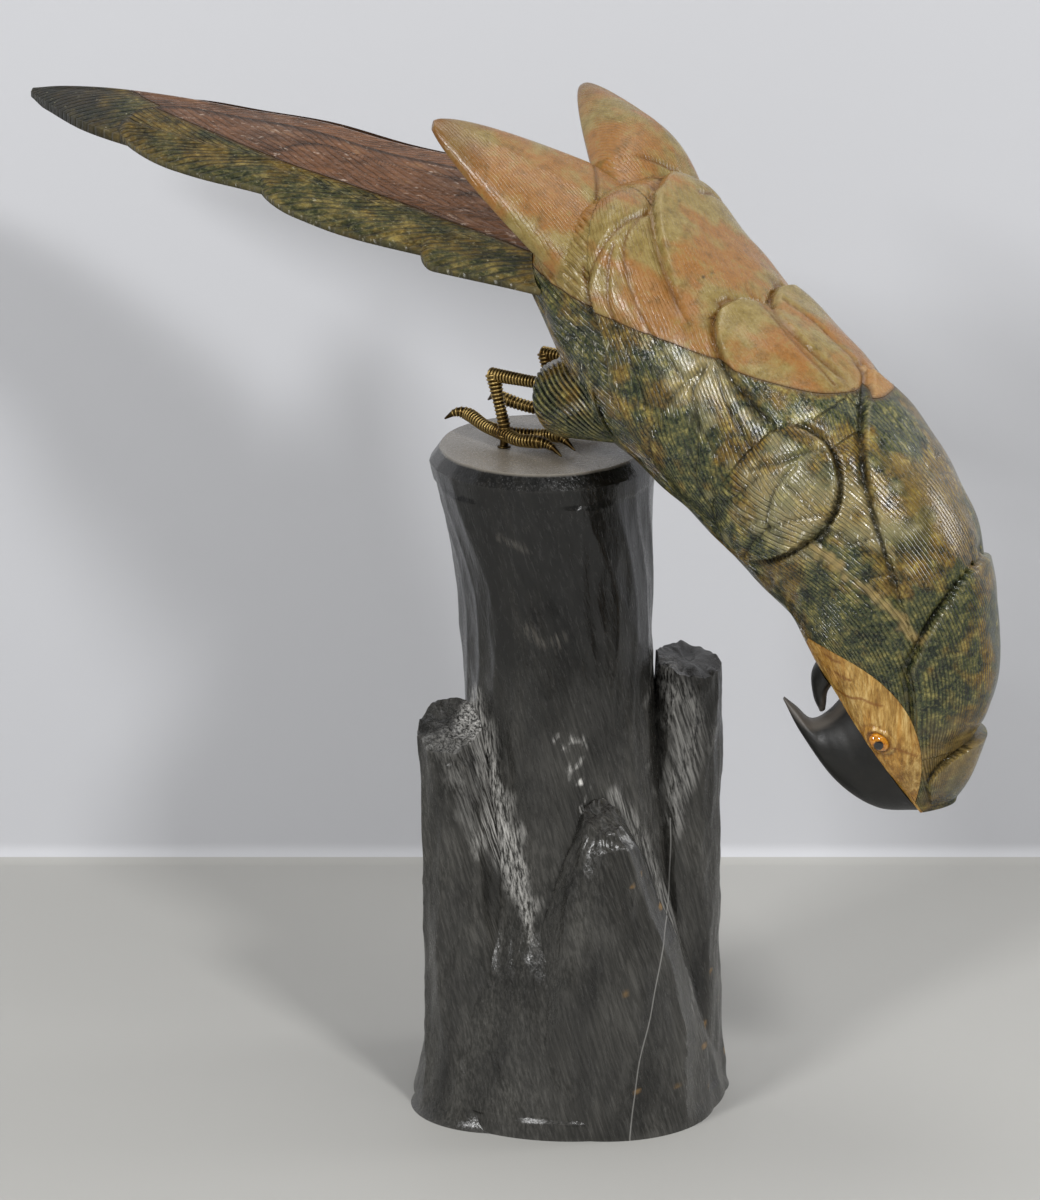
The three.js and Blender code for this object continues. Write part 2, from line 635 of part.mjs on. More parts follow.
const bird = new THREE.Group();
bird.position.set(PERCH[0], PERCH[1], STUMP_TOP);
bird.rotation.z = -YAW;
bird.add(
  meshOf('green_body', whole(lower.subtract(faceLens(GAP)).subtract(union(footRoom))), 0x46492f, 0.25),
  meshOf('salmon_back', whole(figure.intersect(above(BACK_SEAM))), 0xc39a6e, 0.3),
  meshOf('tail_mauve', whole(tail.intersect(above(TAIL_SEAM))), 0x7a5a50, 0.3),
  meshOf('tail_green', whole(tail.intersect(below(TAIL_SEAM))), 0x3f4a34, 0.25),
  meshOf('face_slab', whole(face.subtract(union(sockets))), 0xc79a55, 0.3),
  meshOf('upper_beak', beakHalf(UPPER_BEAK), 0x1c1c1e, 0.35),
  meshOf('lower_beak', beakHalf(LOWER_BEAK), 0x1c1c1e, 0.35),
  meshOf('eye_near', makeEye(-1, 0), 0xc88418, 0.08),
  meshOf('eye_far', makeEye(1, 0), 0xc88418, 0.08),
  ...FEET.map((foot) => meshOf(foot.name, makeFoot(foot), 0x8a7040, 0.35, 1)),
);

const statuette = new THREE.Group();
statuette.add(meshOf('stump', makeStump(), 0x2a2a2b, 0.3), bird);

export default statuette;
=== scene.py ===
"""Stone macaw statuette: coloured stones, glass eyes and bronze feet on a black stone tree stump.

Shapes are worked out in millimetres. The bird has its own frame: x forward from the perch, y to its far
side and z up from the stump's top. Every piece is turned into the frame of the solids, in metres, when its
mesh is made.
"""
import logging
import math
from collections.abc import Callable, Sequence
from dataclasses import dataclass, field, replace
from enum import Enum
from functools import partial

import bmesh
import bpy
import numpy as np
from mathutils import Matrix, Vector


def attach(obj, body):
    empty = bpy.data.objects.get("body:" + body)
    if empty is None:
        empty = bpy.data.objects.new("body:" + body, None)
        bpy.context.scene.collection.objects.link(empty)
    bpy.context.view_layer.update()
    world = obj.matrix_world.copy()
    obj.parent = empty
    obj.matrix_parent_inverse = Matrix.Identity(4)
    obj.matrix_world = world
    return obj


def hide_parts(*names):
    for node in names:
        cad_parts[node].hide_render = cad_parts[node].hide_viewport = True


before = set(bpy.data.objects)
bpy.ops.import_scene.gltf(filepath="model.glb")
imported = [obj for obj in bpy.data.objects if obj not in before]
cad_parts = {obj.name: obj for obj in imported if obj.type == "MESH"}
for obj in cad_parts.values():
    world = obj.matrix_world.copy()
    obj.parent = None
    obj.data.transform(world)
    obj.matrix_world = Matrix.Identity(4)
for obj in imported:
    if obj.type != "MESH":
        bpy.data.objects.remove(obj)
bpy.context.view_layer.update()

LOG = logging.getLogger("macaw")
MM = 0.001
BODY = "root"
Array = np.ndarray
Number = float | Array
Pair = tuple[float, float]
Triple = tuple[float, float, float]
Line = tuple[Pair, ...]
Path = tuple[Triple, ...]
Spots = tuple[tuple[Triple, float, float], ...]
Stops = tuple[tuple[float, str], ...]
Patches = tuple[tuple[str, str, float], ...]
Marks = dict[str, Array]
Piece = bpy.types.Object
Tree = bpy.types.NodeTree
Socket = bpy.types.NodeSocket
Material = bpy.types.Material


# Numbers and curves


def mix(a: Number, b: Number, k: Number) -> Number:
    """Value that lies the part k of the way from a to b."""
    return a + (b - a) * k


def smooth(x: Array, low: float, high: float) -> Array:
    """Smooth step from 0 at low to 1 at high."""
    t = np.clip((np.asarray(x, float) - low) / (high - low), 0, 1)
    return t * t * (3 - 2 * t)


def fall(x: Array, low: float, high: float) -> Array:
    """Smooth step from 1 at low to 0 at high."""
    return 1 - smooth(x, low, high)


def full_turn(count: int) -> Array:
    """Angles of that many places round a circle."""
    return np.linspace(0, 2 * math.pi, count, endpoint=False)


def distance(points: Array, place: Sequence[float]) -> Array:
    """Distance of each point from one place."""
    return np.linalg.norm(points - place, axis=1)


def unit(v: Array) -> Array:
    """Vectors of length one along the last axis."""
    return v / np.maximum(np.linalg.norm(v, axis=-1, keepdims=True), 1e-12)


def bow(k: Array) -> Array:
    """Quarter circle that rises from 0 at 0 to 1 at 1 and stays there."""
    return np.sqrt(np.maximum(0, 1 - (1 - np.minimum(1, k)) ** 2))


def swell(k: Array) -> Array:
    """Half width in degrees of the oval at the wing's bend, from its tip to its base."""
    return 40 * np.sin(math.pi * mix(0.0, 0.85, k)) ** 0.55


def ripple(points: Array, size: float, seed: int, waves: int = 9) -> Array:
    """Uneven smooth value for each point.

    Args:
        points: Places in millimetres, with three numbers along the last axis.
        size: Typical distance between two crests, in millimetres.
        seed: Seed of the waves' directions and phases.
        waves: Number of plane waves that are added up.

    Returns:
        Values that stay roughly between -1 and 1.
    """
    rng = np.random.default_rng(seed)
    total = np.zeros(points.shape[:-1])
    for _ in range(waves):
        way = unit(rng.normal(size=3)) * (2 * math.pi / size) * rng.uniform(0.6, 1.5)
        total += np.sin(points @ way + rng.uniform(0, 2 * math.pi))
    return total / math.sqrt(waves)


def grooves(phase: Array, sharp: float = 3.0) -> Array:
    """Depth of a row of narrow lines, 1 at each whole number of the phase."""
    return (0.5 + 0.5 * np.cos(2 * math.pi * phase)) ** sharp


class Spline:
    """Smooth curve through points, for whole arrays of parameters."""

    def __init__(self, points: Sequence[Sequence[float]]) -> None:
        """Takes the points in order, and adds one beyond each end."""
        p = np.asarray(points, float)
        self.points = np.vstack([2 * p[0] - p[1], p, 2 * p[-1] - p[-2]])
        self.spans = len(p) - 1

    def __call__(self, t: Number) -> Array:
        """Points of the curve.

        Args:
            t: Parameters from 0 at the first point to 1 at the last.

        Returns:
            One point for each parameter.
        """
        u = np.clip(np.asarray(t, float), 0, 1) * self.spans
        i = np.minimum(u.astype(int), self.spans - 1)
        f = (u - i)[..., None]
        a, b, c, d = (self.points[i + n] for n in range(4))
        cubic = 3 * b - a - 3 * c + d
        return 0.5 * (2 * b + (c - a) * f + (2 * a - 5 * b + 4 * c - d) * f**2 + cubic * f**3)


def away_from(points: Array, line: Array) -> Array:
    """Distance of each point from the nearest of a line's samples.

    Args:
        points: Places with three numbers along the last axis.
        line: Samples of the line, close together.

    Returns:
        Distances, in the points' own shape.
    """
    flat = points.reshape(-1, 3)
    near = np.full(len(flat), 1e6)
    margin = 20.0
    inside = np.all((flat > line.min(0) - margin) & (flat < line.max(0) + margin), axis=1)
    some = flat[inside]
    best = np.full(len(some), 1e12)
    for sample in line:
        best = np.minimum(best, np.sum((some - sample) ** 2, axis=1))
    near[inside] = np.sqrt(best)
    return near.reshape(points.shape[:-1])


# Meshes


class Join(Enum):
    """Ways to put two closed solids together."""

    UNION = "UNION"
    CUT = "DIFFERENCE"
    SHARE = "INTERSECT"


def add_object(name: str, data: bpy.types.ID) -> Piece:
    """New object from mesh, lamp or camera data, linked to the scene."""
    piece = bpy.data.objects.new(name, data)
    bpy.context.scene.collection.objects.link(piece)
    return piece


def make_object(
    name: str, points: Array, quads: Array, caps: Sequence[Array] = (), marks: Marks | None = None
) -> Piece:
    """Closed mesh object from points in millimetres, with its faces turned outwards.

    Args:
        name: Name of the object.
        points: Corners in the frame of the solids, in millimetres.
        quads: Four corner numbers for each face.
        caps: Further faces with any number of corners.
        marks: Numbers for each point, kept on the faces' corners so that joins carry them along.

    Returns:
        The new object, linked to the scene.
    """
    triangles = np.concatenate([quads[:, :3], quads[:, [0, 2, 3]]])
    a, b, c = (points[triangles[:, i]] - points.mean(0) for i in range(3))
    if np.sum(a * np.cross(b, c)) < 0:
        quads = quads[:, ::-1]
        caps = [cap[::-1] for cap in caps]
    loops = np.concatenate([quads.ravel(), *caps]).astype(np.int32)
    counts = np.array([4] * len(quads) + [len(cap) for cap in caps], np.int32)
    starts = np.concatenate([[0], np.cumsum(counts)[:-1]]).astype(np.int32)
    mesh = bpy.data.meshes.new(name)
    mesh.vertices.add(len(points))
    mesh.vertices.foreach_set("co", (points * MM).astype(np.float32).ravel())
    mesh.loops.add(len(loops))
    mesh.loops.foreach_set("vertex_index", loops)
    mesh.polygons.add(len(starts))
    mesh.polygons.foreach_set("loop_start", starts)
    mesh.update(calc_edges=True)
    for label, values in (marks or {}).items():
        attribute = mesh.attributes.new(label, "FLOAT", "CORNER")
        attribute.data.foreach_set("value", values.ravel()[loops].astype(np.float32))
    return add_object(name, mesh)


def loft(name: str, rings: Array, marks: Marks | None = None) -> Piece:
    """Closed object from rings of points, each joined to the next, with a flat face over both ends.

    Args:
        name: Name of the object.
        rings: Points by ring and by place round the ring, in millimetres.
        marks: Numbers for each point.

    Returns:
        The new object.
    """
    count, sides, _ = rings.shape
    number = np.arange(count * sides).reshape(count, sides)
    after = np.roll(number, -1, axis=1)
    quads = np.stack([number[:-1], after[:-1], after[1:], number[1:]], axis=-1).reshape(-1, 4)
    return make_object(name, rings.reshape(-1, 3), quads, [number[0][::-1], number[-1]], marks)


def slab(name: str, upper: Array, lower: Array, marks: Marks | None = None) -> Piece:
    """Closed object between an upper and a lower grid of points of the same shape.

    Args:
        name: Name of the object.
        upper: Upper points by row and column, in millimetres.
        lower: Lower points by row and column, in millimetres.
        marks: Numbers for each upper point, which the point below it shares.

    Returns:
        The new object.
    """
    rows, columns, _ = upper.shape
    top = np.arange(rows * columns).reshape(rows, columns)
    bottom = top + rows * columns
    face = np.stack([top[:-1, :-1], top[:-1, 1:], top[1:, 1:], top[1:, :-1]], axis=-1).reshape(-1, 4)
    rim = np.concatenate([top[0, :-1], top[:-1, -1], top[-1, :0:-1], top[:0:-1, 0]])
    rim_after = np.roll(rim, -1)
    shift = rows * columns
    side = np.stack([rim_after, rim, rim + shift, rim_after + shift], axis=-1)
    quads = np.concatenate([face, bottom.ravel()[face[:, ::-1]], side])
    both = {label: np.concatenate([values.ravel()] * 2) for label, values in (marks or {}).items()}
    return make_object(name, np.concatenate([upper.reshape(-1, 3), lower.reshape(-1, 3)]), quads, (), both)


def settle(piece: Piece) -> Piece:
    """Turns an object's modifiers into its plain mesh."""
    depsgraph = bpy.context.evaluated_depsgraph_get()
    mesh = bpy.data.meshes.new_from_object(piece.evaluated_get(depsgraph))
    piece.modifiers.clear()
    piece.data = mesh
    return piece


def combine(piece: Piece, tool: Piece, how: Join) -> Piece:
    """Joins, cuts or overlaps a solid with another, which is used up.

    Args:
        piece: Solid that is changed.
        tool: Solid that it is joined or cut with.
        how: The way of putting them together.

    Returns:
        The changed solid.
    """
    modifier = piece.modifiers.new("join", "BOOLEAN")
    modifier.operation = how.value
    modifier.solver = "MANIFOLD"
    modifier.object = tool
    settle(piece)
    bpy.data.objects.remove(tool)
    return piece


def copy_of(piece: Piece, name: str) -> Piece:
    """Separate copy of a mesh object under another name."""
    return add_object(name, piece.data.copy())


def corner_values(piece: Piece, key: str) -> Array:
    """Three numbers for each corner of a mesh object."""
    values = np.empty(len(piece.data.vertices) * 3, np.float32)
    piece.data.vertices.foreach_get(key, values)
    return values.reshape(-1, 3).astype(float)


def corners_of(piece: Piece) -> Array:
    """Corners of a mesh object in millimetres."""
    return corner_values(piece, "co") / MM


def normals_of(piece: Piece) -> Array:
    """Normals at a mesh object's corners."""
    return corner_values(piece, "normal")


def edge_ends(piece: Piece) -> Array:
    """Corner numbers of a mesh's edges: all first ends, then all second ends."""
    edges = np.empty(len(piece.data.edges) * 2, np.int32)
    piece.data.edges.foreach_get("vertices", edges)
    return edges.reshape(-1, 2).T


def paint(piece: Piece, name: str, values: Array) -> None:
    """Stores a number for each corner of a mesh, for its finish to read."""
    attribute = piece.data.attributes.new(name, "FLOAT", "POINT")
    attribute.data.foreach_set("value", values.astype(np.float32))


def largest_part(piece: Piece) -> None:
    """Drops loose chips that a cut has left, so that only the largest connected part stays."""
    mesh = piece.data
    a, b = edge_ends(piece)
    label = np.arange(len(mesh.vertices))
    while True:
        low = np.minimum(label[a], label[b])
        spread = label.copy()
        np.minimum.at(spread, a, low)
        np.minimum.at(spread, b, low)
        spread = spread[spread]
        if np.array_equal(spread, label):
            break
        label = spread
    names, counts = np.unique(label, return_counts=True)
    if len(names) > 1:
        largest = names[np.argmax(counts)]
        work = bmesh.new()
        work.from_mesh(mesh)
        chips = [corner for corner in work.verts if label[corner.index] != largest]
        bmesh.ops.delete(work, geom=chips, context="VERTS")
        work.to_mesh(mesh)
        work.free()


def finish_piece(piece: Piece, node: str, material: Material, crease: float = 48.0) -> None:
    """Shades, dresses and hands over a finished piece.

    Args:
        piece: The piece, at its final shape.
        node: Solid that the piece stands for.
        material: Finish of the piece.
        crease: Angle in degrees above which an edge is shaded sharp.
    """
    mesh = piece.data
    mesh.polygons.foreach_set("use_smooth", np.ones(len(mesh.polygons), bool))
    mesh.set_sharp_from_angle(angle=math.radians(crease))
    mesh.materials.clear()
    mesh.materials.append(material)
    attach(piece, BODY)
    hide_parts(node)
    LOG.info("%s: %d faces", piece.name, len(mesh.polygons))


# Finishes


def linear(hex_colour: str) -> tuple[float, float, float, float]:
    """Linear colour from an sRGB hex value such as #aabbcc."""
    parts = [int(hex_colour[i : i + 2], 16) / 255 for i in (1, 3, 5)]
    red, green, blue = (c / 12.92 if c <= 0.04045 else ((c + 0.055) / 1.055) ** 2.4 for c in parts)
    return red, green, blue, 1.0


def feed(node: bpy.types.Node, inputs: dict[str | int, object]) -> None:
    """Sets a node's inputs, each named or numbered, to a value or links them to a source socket."""
    for key, value in inputs.items():
        if isinstance(value, Socket):
            node.id_data.links.new(value, node.inputs[key])
        else:
            node.inputs[key].default_value = value


def add_node(
    tree: Tree,
    kind: str,
    settings: dict[str, object] | None = None,
    inputs: dict[str | int, object] | None = None,
    out: str | int = 0,
) -> Socket | None:
    """Adds a node to a tree.

    Args:
        tree: Tree that the node goes into.
        kind: Blender's name of the node type.
        settings: Properties of the node.
        inputs: Value or source socket for each input, by name or number.
        out: Output that is wanted, by name or number.

    Returns:
        That output, from which the node itself can be reached, or none where the node has no output.
    """
    node = tree.nodes.new(kind)
    for name, value in (settings or {}).items():
        setattr(node, name, value)
    feed(node, inputs or {})
    return node.outputs[out] if node.outputs else None


def new_material(name: str) -> tuple[Material, Tree, bpy.types.Node]:
    """Fresh material, with its node tree and its main shader."""
    material = bpy.data.materials.new(name)
    material.use_nodes = True
    tree = material.node_tree
    return material, tree, tree.nodes["Principled BSDF"]


def fill_ramp(node: bpy.types.Node, stops: Sequence[tuple[float, str]]) -> None:
    """Sets a colour ramp's stops from places and hex colours."""
    elements = node.color_ramp.elements
    while len(elements) > 1:
        elements.remove(elements[-1])
    for index, (place, colour) in enumerate(stops):
        element = elements[0] if index == 0 else elements.new(place)
        element.position = place
        element.color = linear(colour)


MULTIPLY = {"operation": "MULTIPLY"}
MULTIPLY_ADD = {"operation": "MULTIPLY_ADD"}
COLOURS = {"data_type": "RGBA"}


def per_metre(millimetres: float) -> float:
    """Texture scale that gives a pattern of that size."""
    return 1 / (millimetres * MM)


@dataclass(frozen=True)
class StoneFinish:
    """Polished natural stone: cloudy mottles, grain, carved lines, painted patches and waxed gloss.

    The colour laid into the carved lines is painted shade, and some patches are painted highlights and
    painted shade.
    """

    name: str
    cool: Stops
    warm: Stops
    mottle_mm: float
    drift_mm: float
    grain: str
    grain_mm: float
    grain_share: float
    roughness: Pair
    scratch_mm: float
    scratch_depth: float
    # Colour and share of the painted shade laid into the carved barbs, and the barbs' bump depth.
    line: str = "#000000"
    groove_shade_share: float = 0.0
    line_depth: float = 0.0
    stretch: Triple = (1.0, 1.0, 1.0)
    turn: Triple = (0.0, 0.0, 0.0)
    warp: float = 0.15
    sway: float = 1.1
    part: Pair = (0.42, 0.58)
    pull: float = 0.16
    patches: Patches = ()
    broken: Patches = ()
    thin: Patches = ()
    strands: Pair = (0.42, 0.68)
    ior: float = 1.5

    def clouds(self, tree: Tree, spot: Socket) -> Socket:
        """Colour of the bare stone: a cool and a warm range of mottles, parted by wide drifts.

        Args:
            tree: Tree of the finish.
            spot: Place in the stone.

        Returns:
            The colour.
        """
        add = partial(add_node, tree)
        shared = {"Vector": spot, "Distortion": self.warp}
        mottle = {"Scale": per_metre(self.mottle_mm), "Detail": 9.0, "Roughness": 0.78}
        drift = {"Scale": per_metre(self.drift_mm), "Detail": 4.0, "Roughness": 0.6}
        fine, wide = (add("ShaderNodeTexNoise", None, shared | kind) for kind in (mottle, drift))
        push = add("ShaderNodeAttribute", {"attribute_name": "drift"}, out="Fac")
        pushed = add("ShaderNodeMath", MULTIPLY_ADD, {0: push, 1: self.pull, 2: wide})
        ranges = [add("ShaderNodeValToRGB", None, {"Fac": fine}) for _ in range(2)]
        for ramp, stops in zip(ranges, (self.cool, self.warm)):
            fill_ramp(ramp.node, stops)
        side = add(
            "ShaderNodeMapRange", {"interpolation_type": "SMOOTHSTEP"},
            {"Value": pushed, "From Min": self.part[0], "From Max": self.part[1]},
        )
        return add("ShaderNodeMix", COLOURS, {"Factor": side, 6: ranges[0], 7: ranges[1]}, 2)

    def lines(self, tree: Tree, spot: Socket) -> Socket:
        """Depth of the carved barbs, uneven as cut by hand.

        Args:
            tree: Tree of the finish.
            spot: Place in the stone.

        Returns:
            Number from 0 between the lines to 1 in the middle of a line.
        """
        add = partial(add_node, tree)
        sway = add("ShaderNodeTexNoise", None, {"Vector": spot, "Scale": per_metre(7.0), "Detail": 2.0})
        marks = ("barb", "carve")
        count, carve = (add("ShaderNodeAttribute", {"attribute_name": mark}, out="Fac") for mark in marks)
        bent = add("ShaderNodeMath", MULTIPLY_ADD, {0: sway, 1: self.sway, 2: count})
        turn = add("ShaderNodeMath", MULTIPLY, {0: bent, 1: 2 * math.pi})
        wave = add("ShaderNodeMath", {"operation": "COSINE"}, {0: turn})
        level = add("ShaderNodeMapRange", None, {"Value": wave, "From Min": 0.2})
        patchy = add("ShaderNodeTexNoise", None, {"Vector": spot, "Scale": per_metre(13.0), "Detail": 3.0})
        share = add(
            "ShaderNodeMapRange", None, {"Value": patchy, "From Min": 0.36, "From Max": 0.6, "To Min": 0.4}
        )
        held = add("ShaderNodeMath", MULTIPLY, {0: share, 1: carve})
        return add("ShaderNodeMath", MULTIPLY, {0: level, 1: held})

    def lay(self, tree: Tree, colour: Socket, attribute: str, shade: str, share: float | Socket) -> Socket:
        """Lays a flat shade over a colour where a painted attribute is set.

        Args:
            tree: Tree of the finish.
            colour: Colour below.
            attribute: Name of the painted numbers.
            shade: Colour of the patch.
            share: How far the patch covers what lies below.

        Returns:
            The new colour.
        """
        mask = add_node(tree, "ShaderNodeAttribute", {"attribute_name": attribute}, out="Fac")
        part = add_node(tree, "ShaderNodeMath", MULTIPLY | {"use_clamp": True}, {0: mask, 1: share})
        return add_node(tree, "ShaderNodeMix", COLOURS, {"Factor": part, 6: colour, 7: linear(shade)}, 2)

    def build(self) -> Material:
        """Makes the node material.

        Returns:
            The finished material.
        """
        material, tree, shader = new_material(self.name)
        add = partial(add_node, tree)
        place = add("ShaderNodeTexCoord", out="Object")
        turned = add("ShaderNodeMapping", None, {"Vector": place, "Rotation": self.turn})
        spot = add("ShaderNodeMapping", None, {"Vector": turned, "Scale": self.stretch})
        drawn = add("ShaderNodeMapping", None, {"Vector": spot, "Scale": (1.0, 1.0, 0.3)})
        speckle = {"Scale": per_metre(self.grain_mm), "Detail": 4.0, "Roughness": 0.7}
        grain, strands = (add("ShaderNodeTexNoise", None, {"Vector": at} | speckle) for at in (spot, drawn))
        fleck = add(
            "ShaderNodeMapRange", None,
            {"Value": grain, "From Min": 0.5, "From Max": 0.72, "To Max": self.grain_share},
        )
        bare = self.clouds(tree, spot)
        colour = add("ShaderNodeMix", COLOURS, {"Factor": fleck, 6: bare, 7: linear(self.grain)}, 2)
        groove = self.lines(tree, spot)
        # Painted shade: the carved barbs are darkened towards the line colour.
        groove_shade = add("ShaderNodeMath", MULTIPLY, {0: groove, 1: self.groove_shade_share})
        colour = add("ShaderNodeMix", COLOURS, {"Factor": groove_shade, 6: colour, 7: linear(self.line)}, 2)
        low, high = self.strands
        streaks = add("ShaderNodeMapRange", None, {"Value": strands, "From Min": low, "From Max": high})
        for attribute, shade, share in self.patches:
            colour = self.lay(tree, colour, attribute, shade, share)
        for attribute, shade, share in self.broken:
            part = add("ShaderNodeMath", MULTIPLY, {0: streaks, 1: share})
            colour = self.lay(tree, colour, attribute, shade, part)
        for attribute, shade, share in self.thin:
            side = add("ShaderNodeAttribute", {"attribute_name": attribute}, out="Fac")
            gap = add("ShaderNodeMath", {"operation": "ABSOLUTE"}, {0: side})
            part = add(
                "ShaderNodeMapRange", None,
                {"Value": gap, "From Min": 0.1, "From Max": 0.5, "To Min": share, "To Max": 0.0},
            )
            colour = add("ShaderNodeMix", COLOURS, {"Factor": part, 6: colour, 7: linear(shade)}, 2)
        low, high = self.roughness
        gloss = add(
            "ShaderNodeMapRange", None,
            {"Value": grain, "From Min": 0.3, "From Max": 0.7, "To Min": low, "To Max": high},
        )
        scratch = add(
            "ShaderNodeTexNoise", None,
            {"Vector": spot, "Scale": per_metre(self.scratch_mm), "Detail": 3.0, "Roughness": 0.65},
        )
        worn = add("ShaderNodeMath", MULTIPLY, {0: scratch, 1: self.scratch_depth})
        height = add("ShaderNodeMath", MULTIPLY_ADD, {0: groove, 1: -self.line_depth, 2: worn})
        bump = add("ShaderNodeBump", None, {"Height": height, "Strength": 1.0, "Distance": MM})
        feed(shader, {"Base Color": colour, "Roughness": gloss, "Normal": bump, "IOR": self.ior})
        return material


# Polished green serpentine: blue green blots on olive and rusty brown, waxed to a sharp shine.
GREEN_STONE = StoneFinish(
    name="polished green serpentine",
    cool=((0.37, "#0b120a"), (0.44, "#1c2718"), (0.5, "#3c4328"), (0.56, "#5c5930"), (0.63, "#8d854b")),
    warm=((0.37, "#1c1a08"), (0.44, "#3f3514"), (0.5, "#664d1f"), (0.56, "#755f25"), (0.63, "#a08a45")),
    mottle_mm=7, drift_mm=24, grain="#98905f", grain_mm=1.7, grain_share=0.4, roughness=(0.1, 0.24),
    # The line colour is painted shade in the carved barbs.
    scratch_mm=1.5, scratch_depth=0.24, line="#0f1009", groove_shade_share=0.7, line_depth=0.7,
    patches=(
        # Painted highlights and shade among these patches: a painted highlight on the ridges and on the
        # pale spots, which are also paler stone, and painted shade in the hollows, along the groove rims
        # and on the tail's side and under faces.
        ("tan", "#a18a58", 0.8), ("ochre", "#6e5a24", 0.4), ("worn", "#a09468", 0.3),
        ("light", "#ada277", 0.42), ("hollow", "#0f1008", 0.9), ("edge", "#14140c", 0.75),
        ("glue", "#4a3518", 0.8), ("rim", "#1b190d", 0.62), ("dark", "#0b0d09", 0.85),
    ),
    broken=(("glint", "#f2eedd", 0.75),), strands=(0.6, 0.7), sway=0.5, ior=1.56,
)
# The tail's green block: the same serpentine, darker, with its blots drawn out along the feathers.
TAIL_GREEN_STONE = replace(
    GREEN_STONE,
    name="polished dark green serpentine",
    cool=((0.34, "#101208"), (0.43, "#242a15"), (0.5, "#403f22"), (0.56, "#5b502a"), (0.64, "#82733f")),
    warm=((0.34, "#1f1a08"), (0.43, "#3a300f"), (0.5, "#56451a"), (0.56, "#665120"), (0.64, "#8d763a")),
    stretch=(0.5, 1.0, 1.0), turn=(0.0, 0.0, math.radians(37)), roughness=(0.26, 0.42), ior=1.42,
    # The streaks over the carved tail are painted glints.
    broken=(("carve", "#c9c2a4", 0.5),), strands=(0.62, 0.74),
)
# Salmon marble: soft orange clouds on olive yellow, honey brown at thin edges, with painted brown shade in
# the grooves.
SALMON_STONE = StoneFinish(
    name="polished salmon marble",
    cool=((0.34, "#67572c"), (0.44, "#7a6837"), (0.52, "#877542"), (0.6, "#907f4d"), (0.68, "#9a8757")),
    warm=((0.34, "#6f4f24"), (0.44, "#845b2b"), (0.52, "#916330"), (0.6, "#8d6c39"), (0.68, "#847341")),
    part=(0.38, 0.62), mottle_mm=7, drift_mm=27, grain="#7a6a40", grain_mm=2.0, grain_share=0.2,
    roughness=(0.2, 0.36), scratch_mm=1.4, scratch_depth=0.14,
    # The line colour is painted shade in the carved barbs.
    line="#7a5426", groove_shade_share=0.3, line_depth=0.26,
    patches=(
        # Painted highlights and shade among these patches: a painted highlight on the ridges, painted shade
        # in the hollows and along the groove rims.
        ("edge", "#6b4720", 0.75), ("hot", "#a87a48", 0.45), ("worn", "#b8a47a", 0.25),
        ("hollow", "#5f3e16", 0.85), ("glue", "#553814", 0.85), ("speck", "#1d1509", 0.9),
        ("rim", "#5f3e16", 0.8),
    ),
)
# Mauve marble: dull pink brown with darker streaks that run along the tail.
MAUVE_STONE = StoneFinish(
    name="polished mauve marble",
    cool=((0.34, "#352316"), (0.44, "#4f3623"), (0.52, "#61432f"), (0.6, "#6c4e36"), (0.68, "#826449")),
    warm=((0.34, "#412a16"), (0.44, "#5a3b23"), (0.52, "#6b472d"), (0.6, "#745034"), (0.68, "#8b6845")),
    mottle_mm=7, drift_mm=24, grain="#94786a", grain_mm=2.0, grain_share=0.3, roughness=(0.16, 0.34),
    # The line colour is painted shade in the carved barbs.
    scratch_mm=1.2, scratch_depth=0.16, line="#2c1e14", groove_shade_share=0.45, line_depth=0.36,
    stretch=(0.25, 1.0, 1.0), turn=(0.0, 0.0, math.radians(37)), ior=1.45,
    # The streaks over the carved tail are painted glints.
    broken=(("carve", "#d9c4b2", 0.6),), strands=(0.6, 0.74), sway=0.7,
    patches=(
        # Painted highlights and shade among these patches: a painted highlight on the ridges, painted shade
        # in the hollows, on the side and under faces and along the feathers' edges.
        ("worn", "#a08878", 0.3), ("hollow", "#231811", 0.8), ("edge", "#20150c", 0.75),
        ("glue", "#3a2616", 0.8), ("rim", "#22170e", 0.8),
    ),
)
# Yellow banded stone: honey and cream bands that stand upright across the face.
YELLOW_STONE = StoneFinish(
    name="polished yellow banded stone",
    cool=((0.36, "#765420"), (0.45, "#957032"), (0.52, "#b38d49"), (0.6, "#d0b06f")),
    warm=((0.36, "#734e1b"), (0.45, "#906527"), (0.52, "#ad7d33"), (0.6, "#c69a50")),
    mottle_mm=3.6, drift_mm=12, grain="#7a4f1e", grain_mm=2.4, grain_share=0.2, roughness=(0.18, 0.34),
    scratch_mm=1.4, scratch_depth=0.1, stretch=(1.0, 1.0, 0.14), warp=0.2,
    patches=(
        # The crease and hollow patches are painted shade in the carved creases and hollows.
        ("lid", "#6a4212", 0.85), ("crease", "#7a4a16", 0.8), ("hollow", "#6a4214", 0.7),
    ),
)
# Black stone, rubbed to a satin shine, with a grey roof to the mouth where it is left dull.
BEAK_STONE = StoneFinish(
    name="satin black stone beak",
    cool=((0.35, "#090806"), (0.5, "#0c0c0a"), (0.65, "#13120f")),
    warm=((0.35, "#0b0a07"), (0.5, "#100f0b"), (0.65, "#181511")),
    mottle_mm=5, drift_mm=16, grain="#2a2825", grain_mm=1.4, grain_share=0.2, roughness=(0.4, 0.56),
    scratch_mm=0.9, scratch_depth=0.06, patches=(("palate", "#5a554f", 0.9),),
)
